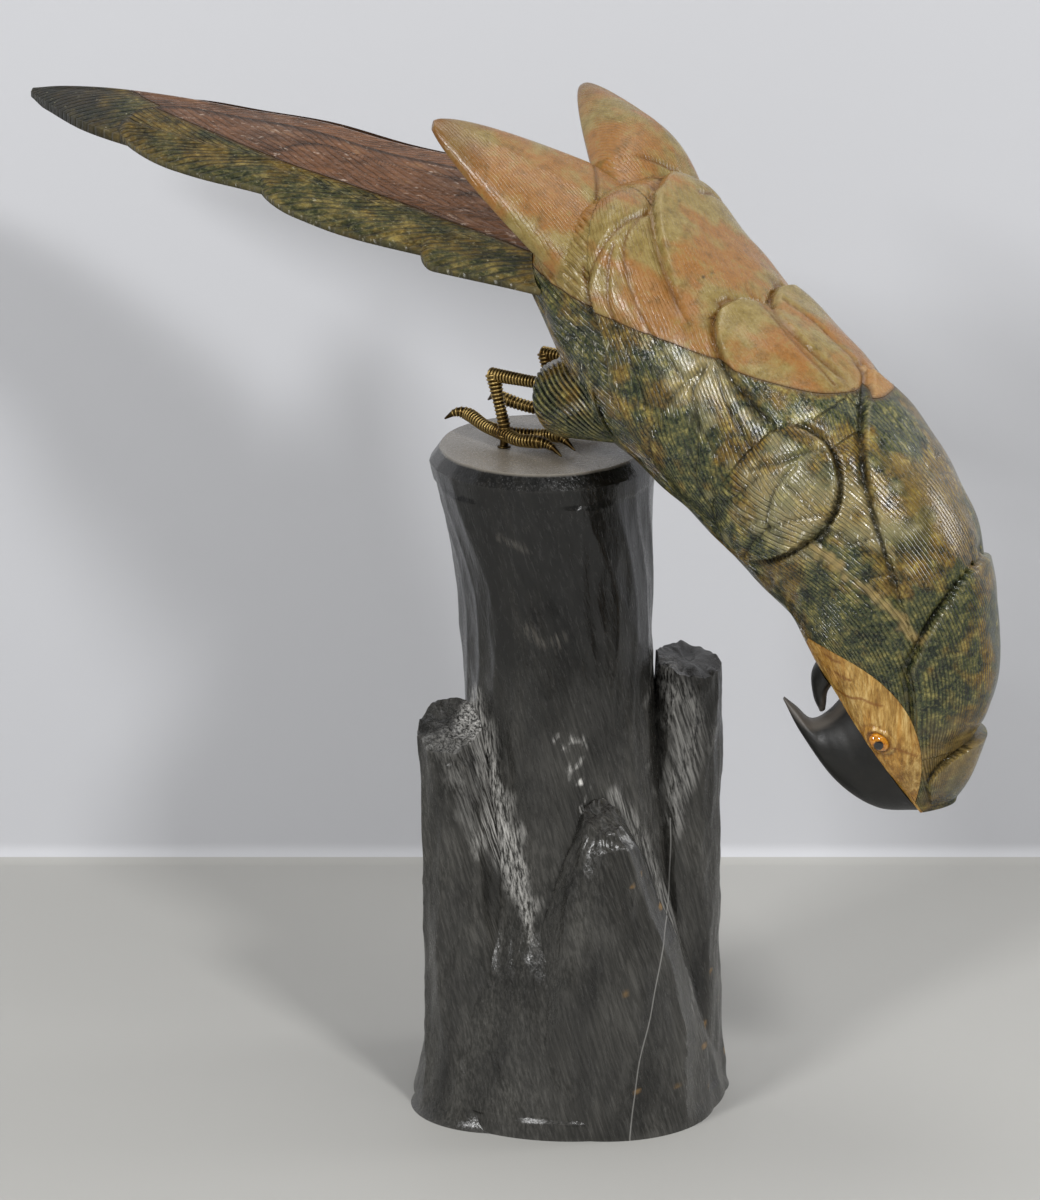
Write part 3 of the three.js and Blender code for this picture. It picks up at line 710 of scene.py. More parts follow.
# Black stone of the stump: polished facets, painted highlight streaks and glints where it was chiselled and
# on its edges, painted shade in its hollows, paler on top, with rust.
STUMP_STONE = StoneFinish(
    name="polished black stone",
    cool=((0.34, "#050504"), (0.46, "#090908"), (0.56, "#0f0f0e"), (0.68, "#1b1a19")),
    warm=((0.34, "#060605"), (0.46, "#0b0b0a"), (0.56, "#13120f"), (0.68, "#22201d")),
    mottle_mm=8, drift_mm=40, grain="#4a4947", grain_mm=1.5, grain_share=0.3, roughness=(0.12, 0.32),
    scratch_mm=1.4, scratch_depth=0.26, stretch=(1.0, 1.0, 0.16), turn=(0.0, 0.3, 0.0),
    patches=(
        ("low", "#3b3a36", 0.55), ("dust", "#938c81", 0.85), ("rust", "#8a6a3a", 0.9),
        # A painted highlight on the edges and painted shade in the hollows.
        ("worn", "#5a5854", 0.45), ("dull", "#211f1d", 0.8), ("hollow", "#050505", 0.6),
    ),
    broken=(
        # Painted highlights among these: the pale streaks along the chisel cuts and the glints on the
        # chisel facets and rim.
        ("low", "#6a6863", 0.4), ("pale", "#c6c4bf", 0.95), ("scuff", "#6f6a62", 0.5),
        ("chip", "#dddbd6", 0.95),
    ),
    thin=(("crack", "#a8a6a2", 0.55),),
)


# Studio


@dataclass(frozen=True)
class Studio:
    """Camera, pale floor with a back wall, and soft lights."""

    target: Triple = (-27.0, 0.0, 284.0)
    distance: float = 3025.0
    elevation: float = 15.7
    lens: float = 165.0
    wall: float = 400.0
    half_width: float = 4000.0
    table_colour: str = "#aeada9"
    wall_colour: str = "#c8c9cd"
    sky_colour: str = "#e6e6e6"
    sky: float = 0.28

    def camera(self) -> None:
        """Puts the camera where the picture was taken from."""
        data = bpy.data.cameras.new("camera")
        data.lens = self.lens
        data.clip_end = 50
        piece = add_object("camera", data)
        tilt = math.radians(self.elevation)
        back = Vector((0, -math.cos(tilt), math.sin(tilt)))
        piece.location = (Vector(self.target) + back * self.distance) * MM
        piece.rotation_euler = (-back).to_track_quat("-Z", "Y").to_euler()
        bpy.context.scene.camera = piece

    def floor(self) -> None:
        """Makes the pale floor and the wall behind it, with a rounded corner between them."""
        bend = 12.0
        turn = np.linspace(0, math.pi / 2, 9)
        profile = [(-3000.0, 0.0)]
        profile += [(self.wall - bend + bend * math.sin(a), bend - bend * math.cos(a)) for a in turn]
        profile += [(self.wall, 4000.0)]
        rows = np.array([[(x, y, z) for x in (-self.half_width, self.half_width)] for y, z in profile])
        number = np.arange(len(profile) * 2).reshape(-1, 2)
        quads = np.stack([number[:-1, 0], number[:-1, 1], number[1:, 1], number[1:, 0]], axis=-1)
        mesh = bpy.data.meshes.new("studio_floor")
        mesh.from_pydata((rows.reshape(-1, 3) * MM).tolist(), [], quads.tolist())
        mesh.polygons.foreach_set("use_smooth", np.ones(len(mesh.polygons), bool))
        colours = {"pale studio table": self.table_colour, "white studio wall": self.wall_colour}
        for name, colour in colours.items():
            material, tree, shader = new_material(name)
            feed(shader, {"Base Color": linear(colour), "Roughness": 0.6})
            mesh.materials.append(material)
        # The wall is clear from its rear, so that it never hides the object in a view from behind.
        rear = add_node(tree, "ShaderNodeNewGeometry", out="Backfacing")
        clear = add_node(tree, "ShaderNodeBsdfTransparent")
        sided = add_node(tree, "ShaderNodeMixShader", None, {0: rear, 1: shader.outputs[0], 2: clear})
        feed(tree.nodes["Material Output"], {"Surface": sided})
        upright = np.arange(len(mesh.polygons)) > len(turn) // 2
        mesh.polygons.foreach_set("material_index", upright.astype(np.int32))
        add_object("studio_floor", mesh)

    def lights(self) -> None:
        """Hangs soft lamps round the object and lights the surroundings evenly."""
        lamps = (
            ("key", (900, -1900, 1900), 320, 34.0),
            ("left", (-1300, -1700, 1500), 420, 30.0),
            ("top", (200, -100, 2300), 1000, 10.0),
            ("rim", (1600, 200, 900), 500, 8.0),
        )
        for name, place, size, power in lamps:
            data = bpy.data.lights.new(name, "AREA")
            data.size = size * MM
            data.energy = power
            piece = add_object(name, data)
            piece.location = Vector(place) * MM
            aim = Vector(self.target) * MM - piece.location
            piece.rotation_euler = aim.to_track_quat("-Z", "Y").to_euler()
        world = bpy.data.worlds.new("studio")
        world.use_nodes = True
        feed(world.node_tree.nodes["Background"], {"Color": linear(self.sky_colour), "Strength": self.sky})
        bpy.context.scene.world = world
        bpy.context.scene.view_settings.view_transform = "Standard"

    def build(self) -> None:
        """Sets up the whole studio."""
        self.camera()
        self.floor()
        self.lights()


# Bird's frame


STUMP_TOP = 368.0
PERCH = np.array([-21.5, 35.0, STUMP_TOP])
YAW = math.radians(37)
HEAD_TURN = math.radians(37)
SEAM = 0.3


def to_frame(points: Array) -> Array:
    """Bird's points in the frame of the solids: turned about the upright and moved to the perch."""
    c, s = math.cos(YAW), math.sin(YAW)
    x, y, z = np.moveaxis(np.asarray(points, float), -1, 0)
    return np.stack([x * c + y * s, y * c - x * s, z], axis=-1) + PERCH


def to_bird(points: Array) -> Array:
    """Points of the frame of the solids in the bird's own frame."""
    c, s = math.cos(YAW), math.sin(YAW)
    x, y, z = np.moveaxis(np.asarray(points, float) - PERCH, -1, 0)
    return np.stack([x * c - y * s, x * s + y * c, z], axis=-1)


def half_space(name: str, point: Array, way: Array) -> Piece:
    """Large block on the side of a plane that a direction points to, in the bird's frame.

    Args:
        name: Name of the object.
        point: Point of the plane.
        way: Direction out of the plane, into the block.

    Returns:
        The block.
    """
    reach = 900.0
    way = unit(np.asarray(way, float))
    other = unit(np.cross(way, [0.0, 1.0, 0.0] if abs(way[1]) < 0.9 else [1.0, 0.0, 0.0]))
    third = np.cross(way, other)
    square = np.array([other + third, third - other, -other - third, other - third]) * reach
    rings = np.stack([point + square, point + square + way * 2 * reach])
    return loft(name, to_frame(rings))


@dataclass
class Skin:
    """Smooth skin of the bird: sections from rump to crown that follow a bent spine."""

    sections: tuple[tuple[Triple, Triple], ...] = (
        ((13, 0, 122), (22, 16, 12)),
        ((45, 0, 100), (56, 62, 26)),
        ((90, 0, 72), (63, 58, 57)),
        ((139, 0, 37), (63, 60, 52)),
        ((185, 0, 3), (59, 63, 50)),
        ((227, 1, -36), (51, 56, 50)),
        ((246, 6, -84), (43, 45, 46)),
        ((250, 8, -124), (38, 34, 34)),
        ((258, 13, -166), (14, 14, 14)),
    )
    roundness: float = 2.4
    pear: Triple = (0.28, 1.0, 1.2)
    head_stations: Pair = (4.0, 6.0)

    def __post_init__(self) -> None:
        """Draws the curves that run through the sections."""
        self.spine = Spline([at for at, _ in self.sections])
        self.girth = Spline([half for _, half in self.sections])
        self.last = len(self.sections) - 1

    def point(self, station: Array, angle: Array, lift: Number = 0.0) -> Array:
        """Points of the skin in the bird's frame.

        Args:
            station: Section number, from 0 at the rump to 8 at the crown.
            angle: Degrees from the middle of the back, negative on the near side.
            lift: Height above the skin.

        Returns:
            One point for each station and angle.
        """
        station, angle = np.broadcast_arrays(np.asarray(station, float), np.asarray(angle, float))
        t = np.clip(station / self.last, 0, 1)
        side, back, belly = np.moveaxis(self.girth(t), -1, 0)
        ahead = unit(self.spine(np.minimum(t + 1e-3, 1)) - self.spine(np.maximum(t - 1e-3, 0)))
        turn = HEAD_TURN * smooth(station, *self.head_stations)
        aside = np.stack([-np.sin(turn), np.cos(turn), np.zeros_like(turn)], axis=-1)
        aside = unit(aside - ahead * np.sum(aside * ahead, axis=-1, keepdims=True))
        upward = np.cross(ahead, aside)
        c, s = np.cos(np.radians(angle)), np.sin(np.radians(angle))
        power = 2 / self.roundness
        most, middle, spread = self.pear
        pear = most * np.exp(-(((station - middle) / spread) ** 2))
        wide = (side * (1 + pear * c) + lift) * np.sign(s) * np.abs(s) ** power
        high = (np.where(c > 0, back, belly) + lift) * np.sign(c) * np.abs(c) ** power
        return self.spine(t) + aside * wide[..., None] + upward * high[..., None]


@dataclass(frozen=True)
class Leaf:
    """Raised leaf on the skin: stations of tip and base, angles of its middle line and its half width."""

    tip: float
    base: float
    middle: Pair
    half: Callable[[Array], Array]
    lift: float
    both_sides: bool = False
    barb_mm: float = 2.0
    barb_slant: float = 0.0
    carve: float = 1.0
    rim: float = 1.0


@dataclass
class Plumage:
    """Carved height of the bird's skin: layered leaves, cut vanes and fine barbs."""

    skin: Skin
    station_mm: float = 51.0
    degree_mm: float = 1.0
    leaves: tuple[Leaf, ...] = (
        Leaf(0.95, 2.7, (12, 0), lambda k: 49 * k**0.75, 4.0, False, 2.0, 0.2, 0.5, 0.6),
        Leaf(2.53, 3.95, (-18, -27), lambda k: 27 * bow(2 * k), 4.0, True, 2.2, 0.1, 0.25),
        Leaf(4.64, 3.7, (-80, -80), swell, 6.0, True, 2.0, 0.16, 1.0),
        Leaf(3.66, 5.7, (12, 0), lambda k: 84 * np.sin(k * math.pi / 2) ** 1.3, 4.0, False, 2.4, 0.0, 0.7),
        Leaf(5.3, 7.2, (0, 0), lambda k: 92 * bow(2.4 * k), 4.5, False, 2.4, 0.0, 0.9),
        Leaf(7.16, 7.95, (0, 0), lambda k: 24 + 66 * bow(1.6 * k), 6.0, False, 2.2, 0.3, 0.8, 0.25),
    )
    wing_edge: Line = ((0.6, -7), (1.2, -44), (1.64, -69), (2.3, -93), (3.0, -116))
    wing_run: float = 1.3
    wing_lift: float = 5.0
    cuts: tuple[Line, ...] = (
        ((1.44, -62), (1.58, -69), (2.24, -93), (2.94, -116)),
        ((1.42, -13), (1.47, -40), (1.57, -66)),
        ((1.55, -42), (1.68, -53), (1.91, -67), (2.31, -79), (2.7, -89)),
        ((1.42, -13), (1.57, -34), (1.87, -49), (2.28, -61), (2.8, -68)),
        ((2.88, -54), (2.85, -75), (2.87, -94), (3.0, -112)),
        ((2.9, -57), (2.95, -69), (3.18, -79), (3.5, -85)),
        ((2.96, -52), (3.31, -63), (3.62, -69), (3.85, -73)),
        ((2.71, 5), (3.21, 10), (3.72, 10)),
        ((3.84, -78), (3.99, -65), (4.16, -45)),
        ((4.13, -61), (4.13, -69), (4.16, -77), (4.22, -83), (4.28, -88)),
    )
    veins: tuple[Line, ...] = (
        ((3.96, -75), (3.9, -89), (3.81, -97)),
        ((4.57, -72), (4.48, -78), (4.37, -87), (4.33, -89)),
        ((4.01, -94), (4.26, -89), (4.33, -89)),
        ((4.33, -89), (4.3, -97), (4.3, -113)),
        ((4.19, -70), (4.35, -71), (4.52, -73)),
        ((4.83, -76), (4.86, -70), (4.89, -64)),
        ((5.06, -84), (5.1, -80), (5.12, -74)),
        ((3.05, -72), (3.33, -88), (3.55, -103), (4.08, -119)),
    )
    vein_half_mm: float = 1.1
    vein_depth_mm: float = 1.2
    cut_half_mm: float = 1.5
    cut_depth_mm: float = 1.3
    rim_depth_mm: float = 1.9
    wing_slant: float = math.radians(28)
    fold_mm: float = 4.0
    fold_depth_mm: float = 0.5
    rump_depth_mm: float = 1.7

    def leaf_height(self, station: Array, angle: Array, leaf: Leaf) -> tuple[Array, Array, Array]:
        """Height, edge groove and line count of one leaf.

        Args:
            station: Stations of the grid.
            angle: Angles of the grid, in degrees.
            leaf: The leaf.

        Returns:
            Height of the leaf where it lies, depth of the groove round it, and the count of barbs.
        """
        along = (station - leaf.tip) / (leaf.base - leaf.tip)
        k = np.clip(along, 1e-6, 1)
        half = np.maximum(leaf.half(k), 1.5)
        across = (angle - mix(*leaf.middle, k)) / half
        length = abs(leaf.base - leaf.tip) * self.station_mm
        inside = np.minimum((1 - np.abs(across)) * half * self.degree_mm, along * length)
        crown = mix(leaf.lift, -1.5, k**3) + 0.2 * leaf.lift * (1 - np.clip(across, -1, 1) ** 2)
        apart = np.abs(across) * half * self.degree_mm
        count = (apart * math.cos(leaf.barb_slant) - k * length * math.sin(leaf.barb_slant)) / leaf.barb_mm
        shown = (along < 1) & (inside > 0)
        height = np.where(shown, np.maximum(crown, 0) * smooth(inside, 0, 2.3), -9.0)
        gap = np.maximum(-inside, 0) / 1.6
        rim = gap**2 * np.exp(2 - 2 * gap) * (along > -0.1) * fall(k, 0.75, 0.9)
        return height, leaf.rim * self.rim_depth_mm * rim, count

    def carve(self, station: Array, angle: Array) -> tuple[Array, Marks]:
        """Carved height and line marks for a grid of stations and angles.

        Args:
            station: Stations of the grid.
            angle: Angles of the grid, in degrees.

        Returns:
            Height above the smooth skin in millimetres, the count and depth of the barbs there, and the
            strength of the painted shade along the leaf rims and cut lines.
        """
        near = -np.abs(angle)
        edge = np.array(self.wing_edge)
        start = np.interp(-near, -edge[:, 1], edge[:, 0])
        along_edge = np.clip((near - edge[0, 1]) / (edge[-1, 1] - edge[0, 1]), 0, 1)
        fade = np.minimum(1, 6 * along_edge * (1 - along_edge) + 0.15)
        j = (station - start) / self.wing_run
        shown = (near < edge[0, 1]) & (near > edge[-1, 1]) & (j >= 0)
        total = np.where(shown, np.maximum(0, mix(self.wing_lift * fade, -1, j)), 0)
        slope = mix(16, 2.4, smooth(-near, 45, 72))
        total *= smooth(j * self.wing_run * self.station_mm / slope, 0, 1)
        wings = (near < -8) & (near > -118) & (station > start) & (station < 4.2)
        run, round_mm = station * self.station_mm, near * self.degree_mm
        slanted = (run * math.sin(self.wing_slant) + round_mm * math.cos(self.wing_slant)) / 2.0
        count = np.where(wings, slanted, round_mm / 2.2)
        depth = np.where(wings, 0.85, 0.9)
        flat = self.skin.point(station, angle)
        uneven = 0.5 + 0.5 * ripple(flat, 18, 6)
        folds = grooves(round_mm / self.fold_mm + 0.25 * ripple(flat, 30, 2), 2.0) * uneven
        deep = mix(self.rump_depth_mm, self.fold_depth_mm, smooth(station, 1.2, 2.4))
        total = total - np.where(wings, 0, deep * np.clip(folds, 0, 1.2) * smooth(station, 0.3, 0.8))
        rims = np.zeros_like(total)
        for leaf in self.leaves:
            for turned in (angle, -angle) if leaf.both_sides else (angle,):
                height, rim, lines = self.leaf_height(station, turned, leaf)
                over = height > total
                rims = np.where(over, 0, np.maximum(rims, rim))
                count, depth = np.where(over, lines, count), np.where(over, leaf.carve, depth)
                total = np.maximum(total, height)
        total = total - rims
        # Strength of the painted shade in the grooves round the leaves.
        drawn = 0.8 * rims / self.rim_depth_mm
        sizes = [(line, self.cut_half_mm, self.cut_depth_mm) for line in self.cuts]
        sizes += [(line, self.vein_half_mm, self.vein_depth_mm) for line in self.veins]
        for line, half, deepest in sizes:
            pairs = Spline(line)(np.linspace(0, 1, 70))
            for side in (1, -1):
                samples = self.skin.point(pairs[:, 0], side * pairs[:, 1])
                cut = np.exp(-((away_from(flat, samples) / half) ** 2))
                total = total - deepest * cut
                # The cuts and veins get painted shade too.
                drawn = np.maximum(drawn, cut**4)
        return total, {"barb": count, "carve": depth, "rim": drawn}


@dataclass
class WingTip:
    """Blade of folded primaries that stands free of the back."""

    side: int
    tip: Triple = (-14, 70, 184)
    notch: Triple = (40, 3, 156)
    root: Triple = (74, 60, 101)
    inward: float = 7.0
    near: float = 21.0
    far: float = 43.0
    fuller: Pair = (-0.22, 0.42)
    rows: int = 130
    columns: int = 150
    hatch_mm: float = 1.9
    hatch_slant: float = math.radians(27)

    def build(self, name: str, lift: float = 0.0) -> Piece:
        """Makes the blade.

        Args:
            name: Name of the object.
            lift: Room added all round.

        Returns:
            The blade as a closed solid.
        """
        mirror = np.array([1, self.side, 1])
        tip, upper, lower = (np.array(p, float) * mirror for p in (self.tip, self.notch, self.root))
        middle = (upper + lower) / 2
        half = (lower - upper) / 2
        out = unit(np.cross(half, tip - middle))
        out = out if np.sign(out[1]) == self.side else -out
        k = mix(-0.3, 0.985, np.linspace(0, 1, self.rows))[:, None]
        turn = full_turn(self.columns)[None, :]
        left = np.minimum(1, 1 - k)
        wide = left**0.62 + lift / np.linalg.norm(half)
        outward = mix(self.near, self.far if self.side > 0 else self.near, smooth(k, *self.fuller))
        thick = np.where(np.sin(turn) > 0, outward, self.inward) * left**0.8 + 1.5 + lift
        along = k * np.linalg.norm(tip - middle)
        across = wide * np.cos(turn) * np.linalg.norm(half)
        outer = smooth(np.sin(turn), 0.05, 0.3)
        count = (across * math.cos(self.hatch_slant) + along * math.sin(self.hatch_slant)) / self.hatch_mm
        faces_out = outer if self.side < 0 else smooth(np.sin(turn), 0.6, 0.85)
        base = faces_out * np.exp(-((along / 1.4) ** 2))
        shaft = outer * 0.5 * np.exp(-(((across + 6) / 1.4) ** 2)) - 1.5 * base
        thick = thick * (1 - 0.25 * smooth(-k, 0, 0.2) * smooth(np.cos(turn), -0.3, 0.3))
        # The groove where the blade leaves the panel gets painted shade.
        marks = {"barb": count, "carve": 0.9 * outer * np.ones_like(k), "rim": base}
        rings = (
            middle + (tip - middle) * k[..., None]
            + half * (wide * np.cos(turn))[..., None]
            + out * ((thick + shaft) * np.sin(turn))[..., None]
        )
        return loft(name, to_frame(rings), marks)


@dataclass
class Thigh:
    """Feathered thigh that rests on the stump."""

    side: int
    hip: Triple = (88, 30, 46)
    knee: Triple = (38, 30, 32)
    radii: Pair = (31, 20)
    rows: int = 76
    columns: int = 180

    def build(self, name: str) -> Piece:
        """Makes the thigh, cut flat where it meets the stump's top.

        Args:
            name: Name of the object.

        Returns:
            The thigh as a closed solid.
        """
        mirror = np.array([1, self.side, 1])
        hip, knee = np.array(self.hip, float) * mirror, np.array(self.knee, float) * mirror
        k = np.linspace(0, 1.12, self.rows)
        axis = unit(knee - hip)
        aside = unit(np.cross(axis, [0, 0, 1.0]))
        up = np.cross(aside, axis)
        turn = full_turn(self.columns)
        rounded = np.sqrt(1 - 0.85 * smooth(k, 0.93, 1.13))
        radius = mix(*self.radii, np.minimum(k, 1)) * rounded
        phase = 11.5 * (1 - k)[:, None] + self.side * 14 * turn[None, :] / math.pi
        sway = 0.5 * np.sin(3 * turn + 1)[None, :] * np.sin(5 * k)[:, None]
        lines = 1 - 0.055 * grooves(phase + sway, 1.4) * smooth(k, 0, 0.2)[:, None]
        ring = aside * np.cos(turn)[:, None] + up * np.sin(turn)[:, None]
        middle = (hip + (knee - hip) * k[:, None])[:, None, :]
        rings = middle + ring[None] * (radius[:, None] * lines)[..., None]
        limb = loft(name, to_frame(rings), {"barb": 2 * (phase + sway), "carve": np.ones_like(phase)})
        above = half_space("stump_plane", np.array([0, 0, SEAM]), np.array([0, 0, 1.0]))
        return combine(limb, above, Join.SHARE)


# Head frame: p towards the nape, q up and s to the far side, from the seventh section


NAPE_WAY = np.array([math.cos(HEAD_TURN), math.sin(HEAD_TURN), 0.0])
FAR_WAY = np.array([-math.sin(HEAD_TURN), math.cos(HEAD_TURN), 0.0])
UP_WAY = np.array([0.0, 0.0, 1.0])
HEAD_MIDDLE = np.array([250.0, 8.0, -124.0])


def head_point(p: Number, q: Number, s: Number = 0.0) -> Array:
    """Points of the head in the bird's frame."""
    p, q, s = np.broadcast_arrays(*(np.asarray(v, float)[..., None] for v in (p, q, s)))
    return HEAD_MIDDLE + p * NAPE_WAY + q * UP_WAY + s * FAR_WAY


def in_head(points: Array) -> tuple[Array, Array, Array]:
    """Head coordinates p, q and s of points in the frame of the solids."""
    local = to_bird(points) - HEAD_MIDDLE
    return local @ NAPE_WAY, local @ UP_WAY, local @ FAR_WAY


@dataclass
class Eye:
    """Amber glass eye, an almond dome in the side of the face."""

    at: Pair = (-21.0, 3.0)
    out: float = 36.0
    long: float = 5.9
    short: float = 4.2
    dome: float = 3.4
    lean: float = -math.pi / 5

    def almond(self, p: Array, q: Array) -> Array:
        """Distance from the eye's middle, 1 at its rim."""
        c, s = math.cos(self.lean), math.sin(self.lean)
        dp, dq = p - self.at[0], q - self.at[1]
        return np.sqrt(((dp * c + dq * s) / self.long) ** 2 + ((dq * c - dp * s) / self.short) ** 2)

    def build(self, name: str, side: int) -> Piece:
        """Makes one eye.

        Args:
            name: Name of the object.
            side: -1 on the near side, 1 on the far side.

        Returns:
            The eye, with its pupil painted.
        """
        v = np.linspace(0.03, math.pi - 0.03, 28)[:, None]
        u = full_turn(56)[None, :]
        a = self.long * np.sin(v) * np.cos(u)
        b = self.short * np.sin(v) * np.sin(u)
        d = self.dome * np.cos(v) * np.ones_like(u)
        c, s = math.cos(self.lean), math.sin(self.lean)
        points = head_point(self.at[0] + a * c - b * s, self.at[1] + a * s + b * c, side * self.out + d)
        piece = loft(name, to_frame(points))
        p, q, _ = in_head(corners_of(piece))
        reach = np.hypot(p - self.at[0] + 0.4, q - self.at[1] + 1.0)
        paint(piece, "pupil", smooth(-reach, -2.9, -2.5))
        return piece


@dataclass
class Face:
    """Yellow slab through the head, between an arc and the plane that the beak is glued to."""

    start: Pair = (-58, 55)
    bulge: Pair = (-8, 22)
    end: Pair = (0, -36)
    past: Pair = (14, -57)
    corner: Pair = (-90, -140)
    reach: float = 70.0
    beak_plane: tuple[Pair, Pair] = ((-52, 37), (-1, -37))

    def beak_way(self) -> Array:
        """Direction out of the face, towards the beak."""
        first, last = (head_point(*pair) for pair in self.beak_plane)
        return unit(np.cross(FAR_WAY, last - first))

    def lens(self, name: str, grow: float) -> Piece:
        """Prism that holds the face and all that lies on the beak's side of it.

        Args:
            name: Name of the object.
            grow: Room added behind the arc.

        Returns:
            The prism.
        """
        start = np.array(self.start) + (-grow, grow)
        end = np.array(self.end) + (grow, -grow)
        pull = 2 * np.array(self.bulge) - (np.array(self.start) + np.array(self.end)) / 2 + grow
        t = np.linspace(0, 1, 40)[:, None]
        arc = (1 - t) ** 2 * start + 2 * t * (1 - t) * pull + t**2 * end
        outline = np.vstack([arc, np.array(self.past) + (grow, 0), self.corner])
        rings = np.stack([head_point(outline[:, 0], outline[:, 1], s) for s in (-self.reach, self.reach)])
        return loft(name, to_frame(rings))

    def behind_beak(self, name: str, gap: float, way: int) -> Piece:
        """Block on one side of the beak plane: way -1 for the face, 1 for the beak."""
        out = self.beak_way()
        return half_space(name, head_point(*self.beak_plane[0]) + out * gap, out * way)


@dataclass
class Bird:
    """The carved figure, parted at its glue planes into salmon back, green body and yellow face."""

    skin: Skin = field(default_factory=Skin)
    face: Face = field(default_factory=Face)
    eye: Eye = field(default_factory=Eye)
    rows: int = 364
    columns: int = 328
    seam_height: float = 123.0
    seam_fall: float = 0.3
    thumb_mm: float = 30.0
    # Spots of paler stone that also carry a painted highlight.
    pale_and_highlight_spots: Path = (
        (4.3, -76, 34), (4.6, -60, 19), (4.85, -60, 18), (2.9, -62, 26),
    )
    salmon_drift: Spots = (
        ((37, -58, 158), 22, 0.8), ((60, -54, 141), 22, 0.8), ((59, 3, 150), 20, 0.8),
        ((116, -53, 107), 20, 0.8), ((131, -47, 100), 20, 0.8), ((127, -20, 118), 20, 0.9),
        ((135, 11, 114), 24, 0.9), ((184, -23, 81), 16, 0.7), ((74, -62, 106), 28, -1),
        ((91, -42, 138), 20, -1), ((110, -40, 123), 16, -0.8), ((105, 16, 139), 20, -1),
        ((50, 20, 168), 30, 0.8), ((159, -41, 90), 18, -1), ((170, -25, 91), 18, -1),
        ((45, -60, 124), 26, -1),
    )
    green_drift: Spots = (
        ((155, -61, 28), 22, -1), ((148, -51, -8), 24, -1), ((169, -59, -8), 20, -1),
        ((241, -2, 43), 24, -1), ((238, -47, -54), 26, -1), ((261, -38, -58), 24, -1),
        ((284, -22, -63), 26, -1), ((284, -20, -96), 24, -1), ((121, -65, 35), 22, -0.6),
        ((190, -60, 25), 12, 1), ((262, -10, 18), 22, 1), ((278, -4, -8), 22, 1), ((279, -10, -132), 18, 1),
        ((289, -7, -114), 16, 1),
    )
    thigh_glints: Triple = (94, -59, 68)
    specks: Path = ((61, 3, 150), (100, 1, 145), (134, -26, 112), (135, -19, 114))
    # Lines of the painted shade in the face's carved creases.
    creases: tuple[Line, ...] = (
        ((-42, 27), (-36, 26), (-31, 26.6), (-25, 24.5), (-20, 23.7)),
        ((-14, 0.2), (-7, -2.2), (-1, -4.7)),
        ((-44, 39), (-40, 37), (-36.6, 36.2)),
        ((-49, 48), (-45, 46), (-42, 45.8)),
    )

    def torso(self, name: str) -> Piece:
        """Makes the carved trunk from rump to crown."""
        station = np.linspace(0, self.skin.last, self.rows)[:, None] * np.ones((1, self.columns))
        angle = np.linspace(-180, 180, self.columns, endpoint=False)[None, :] * np.ones((self.rows, 1))
        height, marks = Plumage(self.skin).carve(station, angle)
        height += 0.5 * ripple(self.skin.point(station, angle), self.thumb_mm, 5)
        points = self.skin.point(station, angle, height)
        points += self.lids(points)
        return loft(name, to_frame(points), marks)

    def lids(self, points: Array) -> Array:
        """Carved eyelids: a raised ring round each eye.

        Args:
            points: Points of the trunk in the bird's frame.

        Returns:
            Shift of each point.
        """
        local = points - HEAD_MIDDLE
        p, q, s = local @ NAPE_WAY, local @ UP_WAY, local @ FAR_WAY
        rim = self.eye.almond(p, q)
        raised = np.exp(-(((rim - 1.3) / 0.22) ** 2)) * 0.9 - 0.7 * np.exp(-(((rim - 1.75) / 0.2) ** 2))
        outside = (np.abs(s) > 20) & (rim < 3)
        return np.where(outside, raised * np.sign(s), 0)[..., None] * FAR_WAY

    def whole(self) -> Piece:
        """Joins trunk, wing tips and thighs into one closed figure."""
        figure = self.torso("figure")
        for side in (-1, 1):
            combine(figure, WingTip(side).build(f"wing_tip_{side}"), Join.UNION)
            combine(figure, Thigh(side).build(f"thigh_{side}"), Join.UNION)
        return figure

    def seam_side(self, name: str, way: int) -> Piece:
        """Block above (way 1) or below (way -1) the glue plane of the back."""
        normal = np.array([self.seam_fall, 0, 1.0])
        return half_space(name, np.array([0, 0, self.seam_height + way * SEAM / 2]), normal * way)

    def above_seam(self, points: Array) -> Array:
        """Height of points over the glue plane of the back, in millimetres."""
        x, _, z = np.moveaxis(to_bird(points), -1, 0)
        return z - (self.seam_height - self.seam_fall * x)

    def near_line(self, points: Array, line: Sequence[Pair], half: float) -> Array:
        """Soft mask along a line on the near side of the skin and on the far side.

        Args:
            points: Points in the frame of the solids.
            line: Stations and angles of the line.
            half: Half width of the mask.

        Returns:
            Mask from 0 to 1.
        """
        pairs = Spline(line)(np.linspace(0, 1, 60))
        mask = np.zeros(len(points))
        for side in (1, -1):
            samples = to_frame(self.skin.point(pairs[:, 0], side * pairs[:, 1], 2.0))
            gap = away_from(points, samples) * (1 + 0.35 * ripple(points, 9, 11))
            mask = np.maximum(mask, fall(gap, 0.3 * half, half))
        return mask

    def build(self) -> None:
        """Makes and dresses the three stones and both eyes."""
        figure = self.whole()
        salmon = copy_of(figure, "salmon_back_stone")
        combine(salmon, self.seam_side("above_seam", 1), Join.SHARE)
        combine(figure, self.seam_side("below_seam", -1), Join.SHARE)
        face = copy_of(figure, "face_stone")
        combine(face, self.face.lens("lens", 0), Join.SHARE)
        combine(face, self.face.behind_beak("beak_plane", 0, -1), Join.SHARE)
        green = figure
        green.name = "green_body_stone"
        combine(green, self.face.lens("lens", SEAM), Join.CUT)
        for piece in (salmon, green, face):
            largest_part(piece)
        self.dress_salmon(salmon)
        self.dress_green(green)
        self.dress_face(face)
        glass = AmberGlass().build()
        for name, side in (("eye_near", -1), ("eye_far", 1)):
            finish_piece(self.eye.build(f"{name}_glass", side), name, glass, 60)

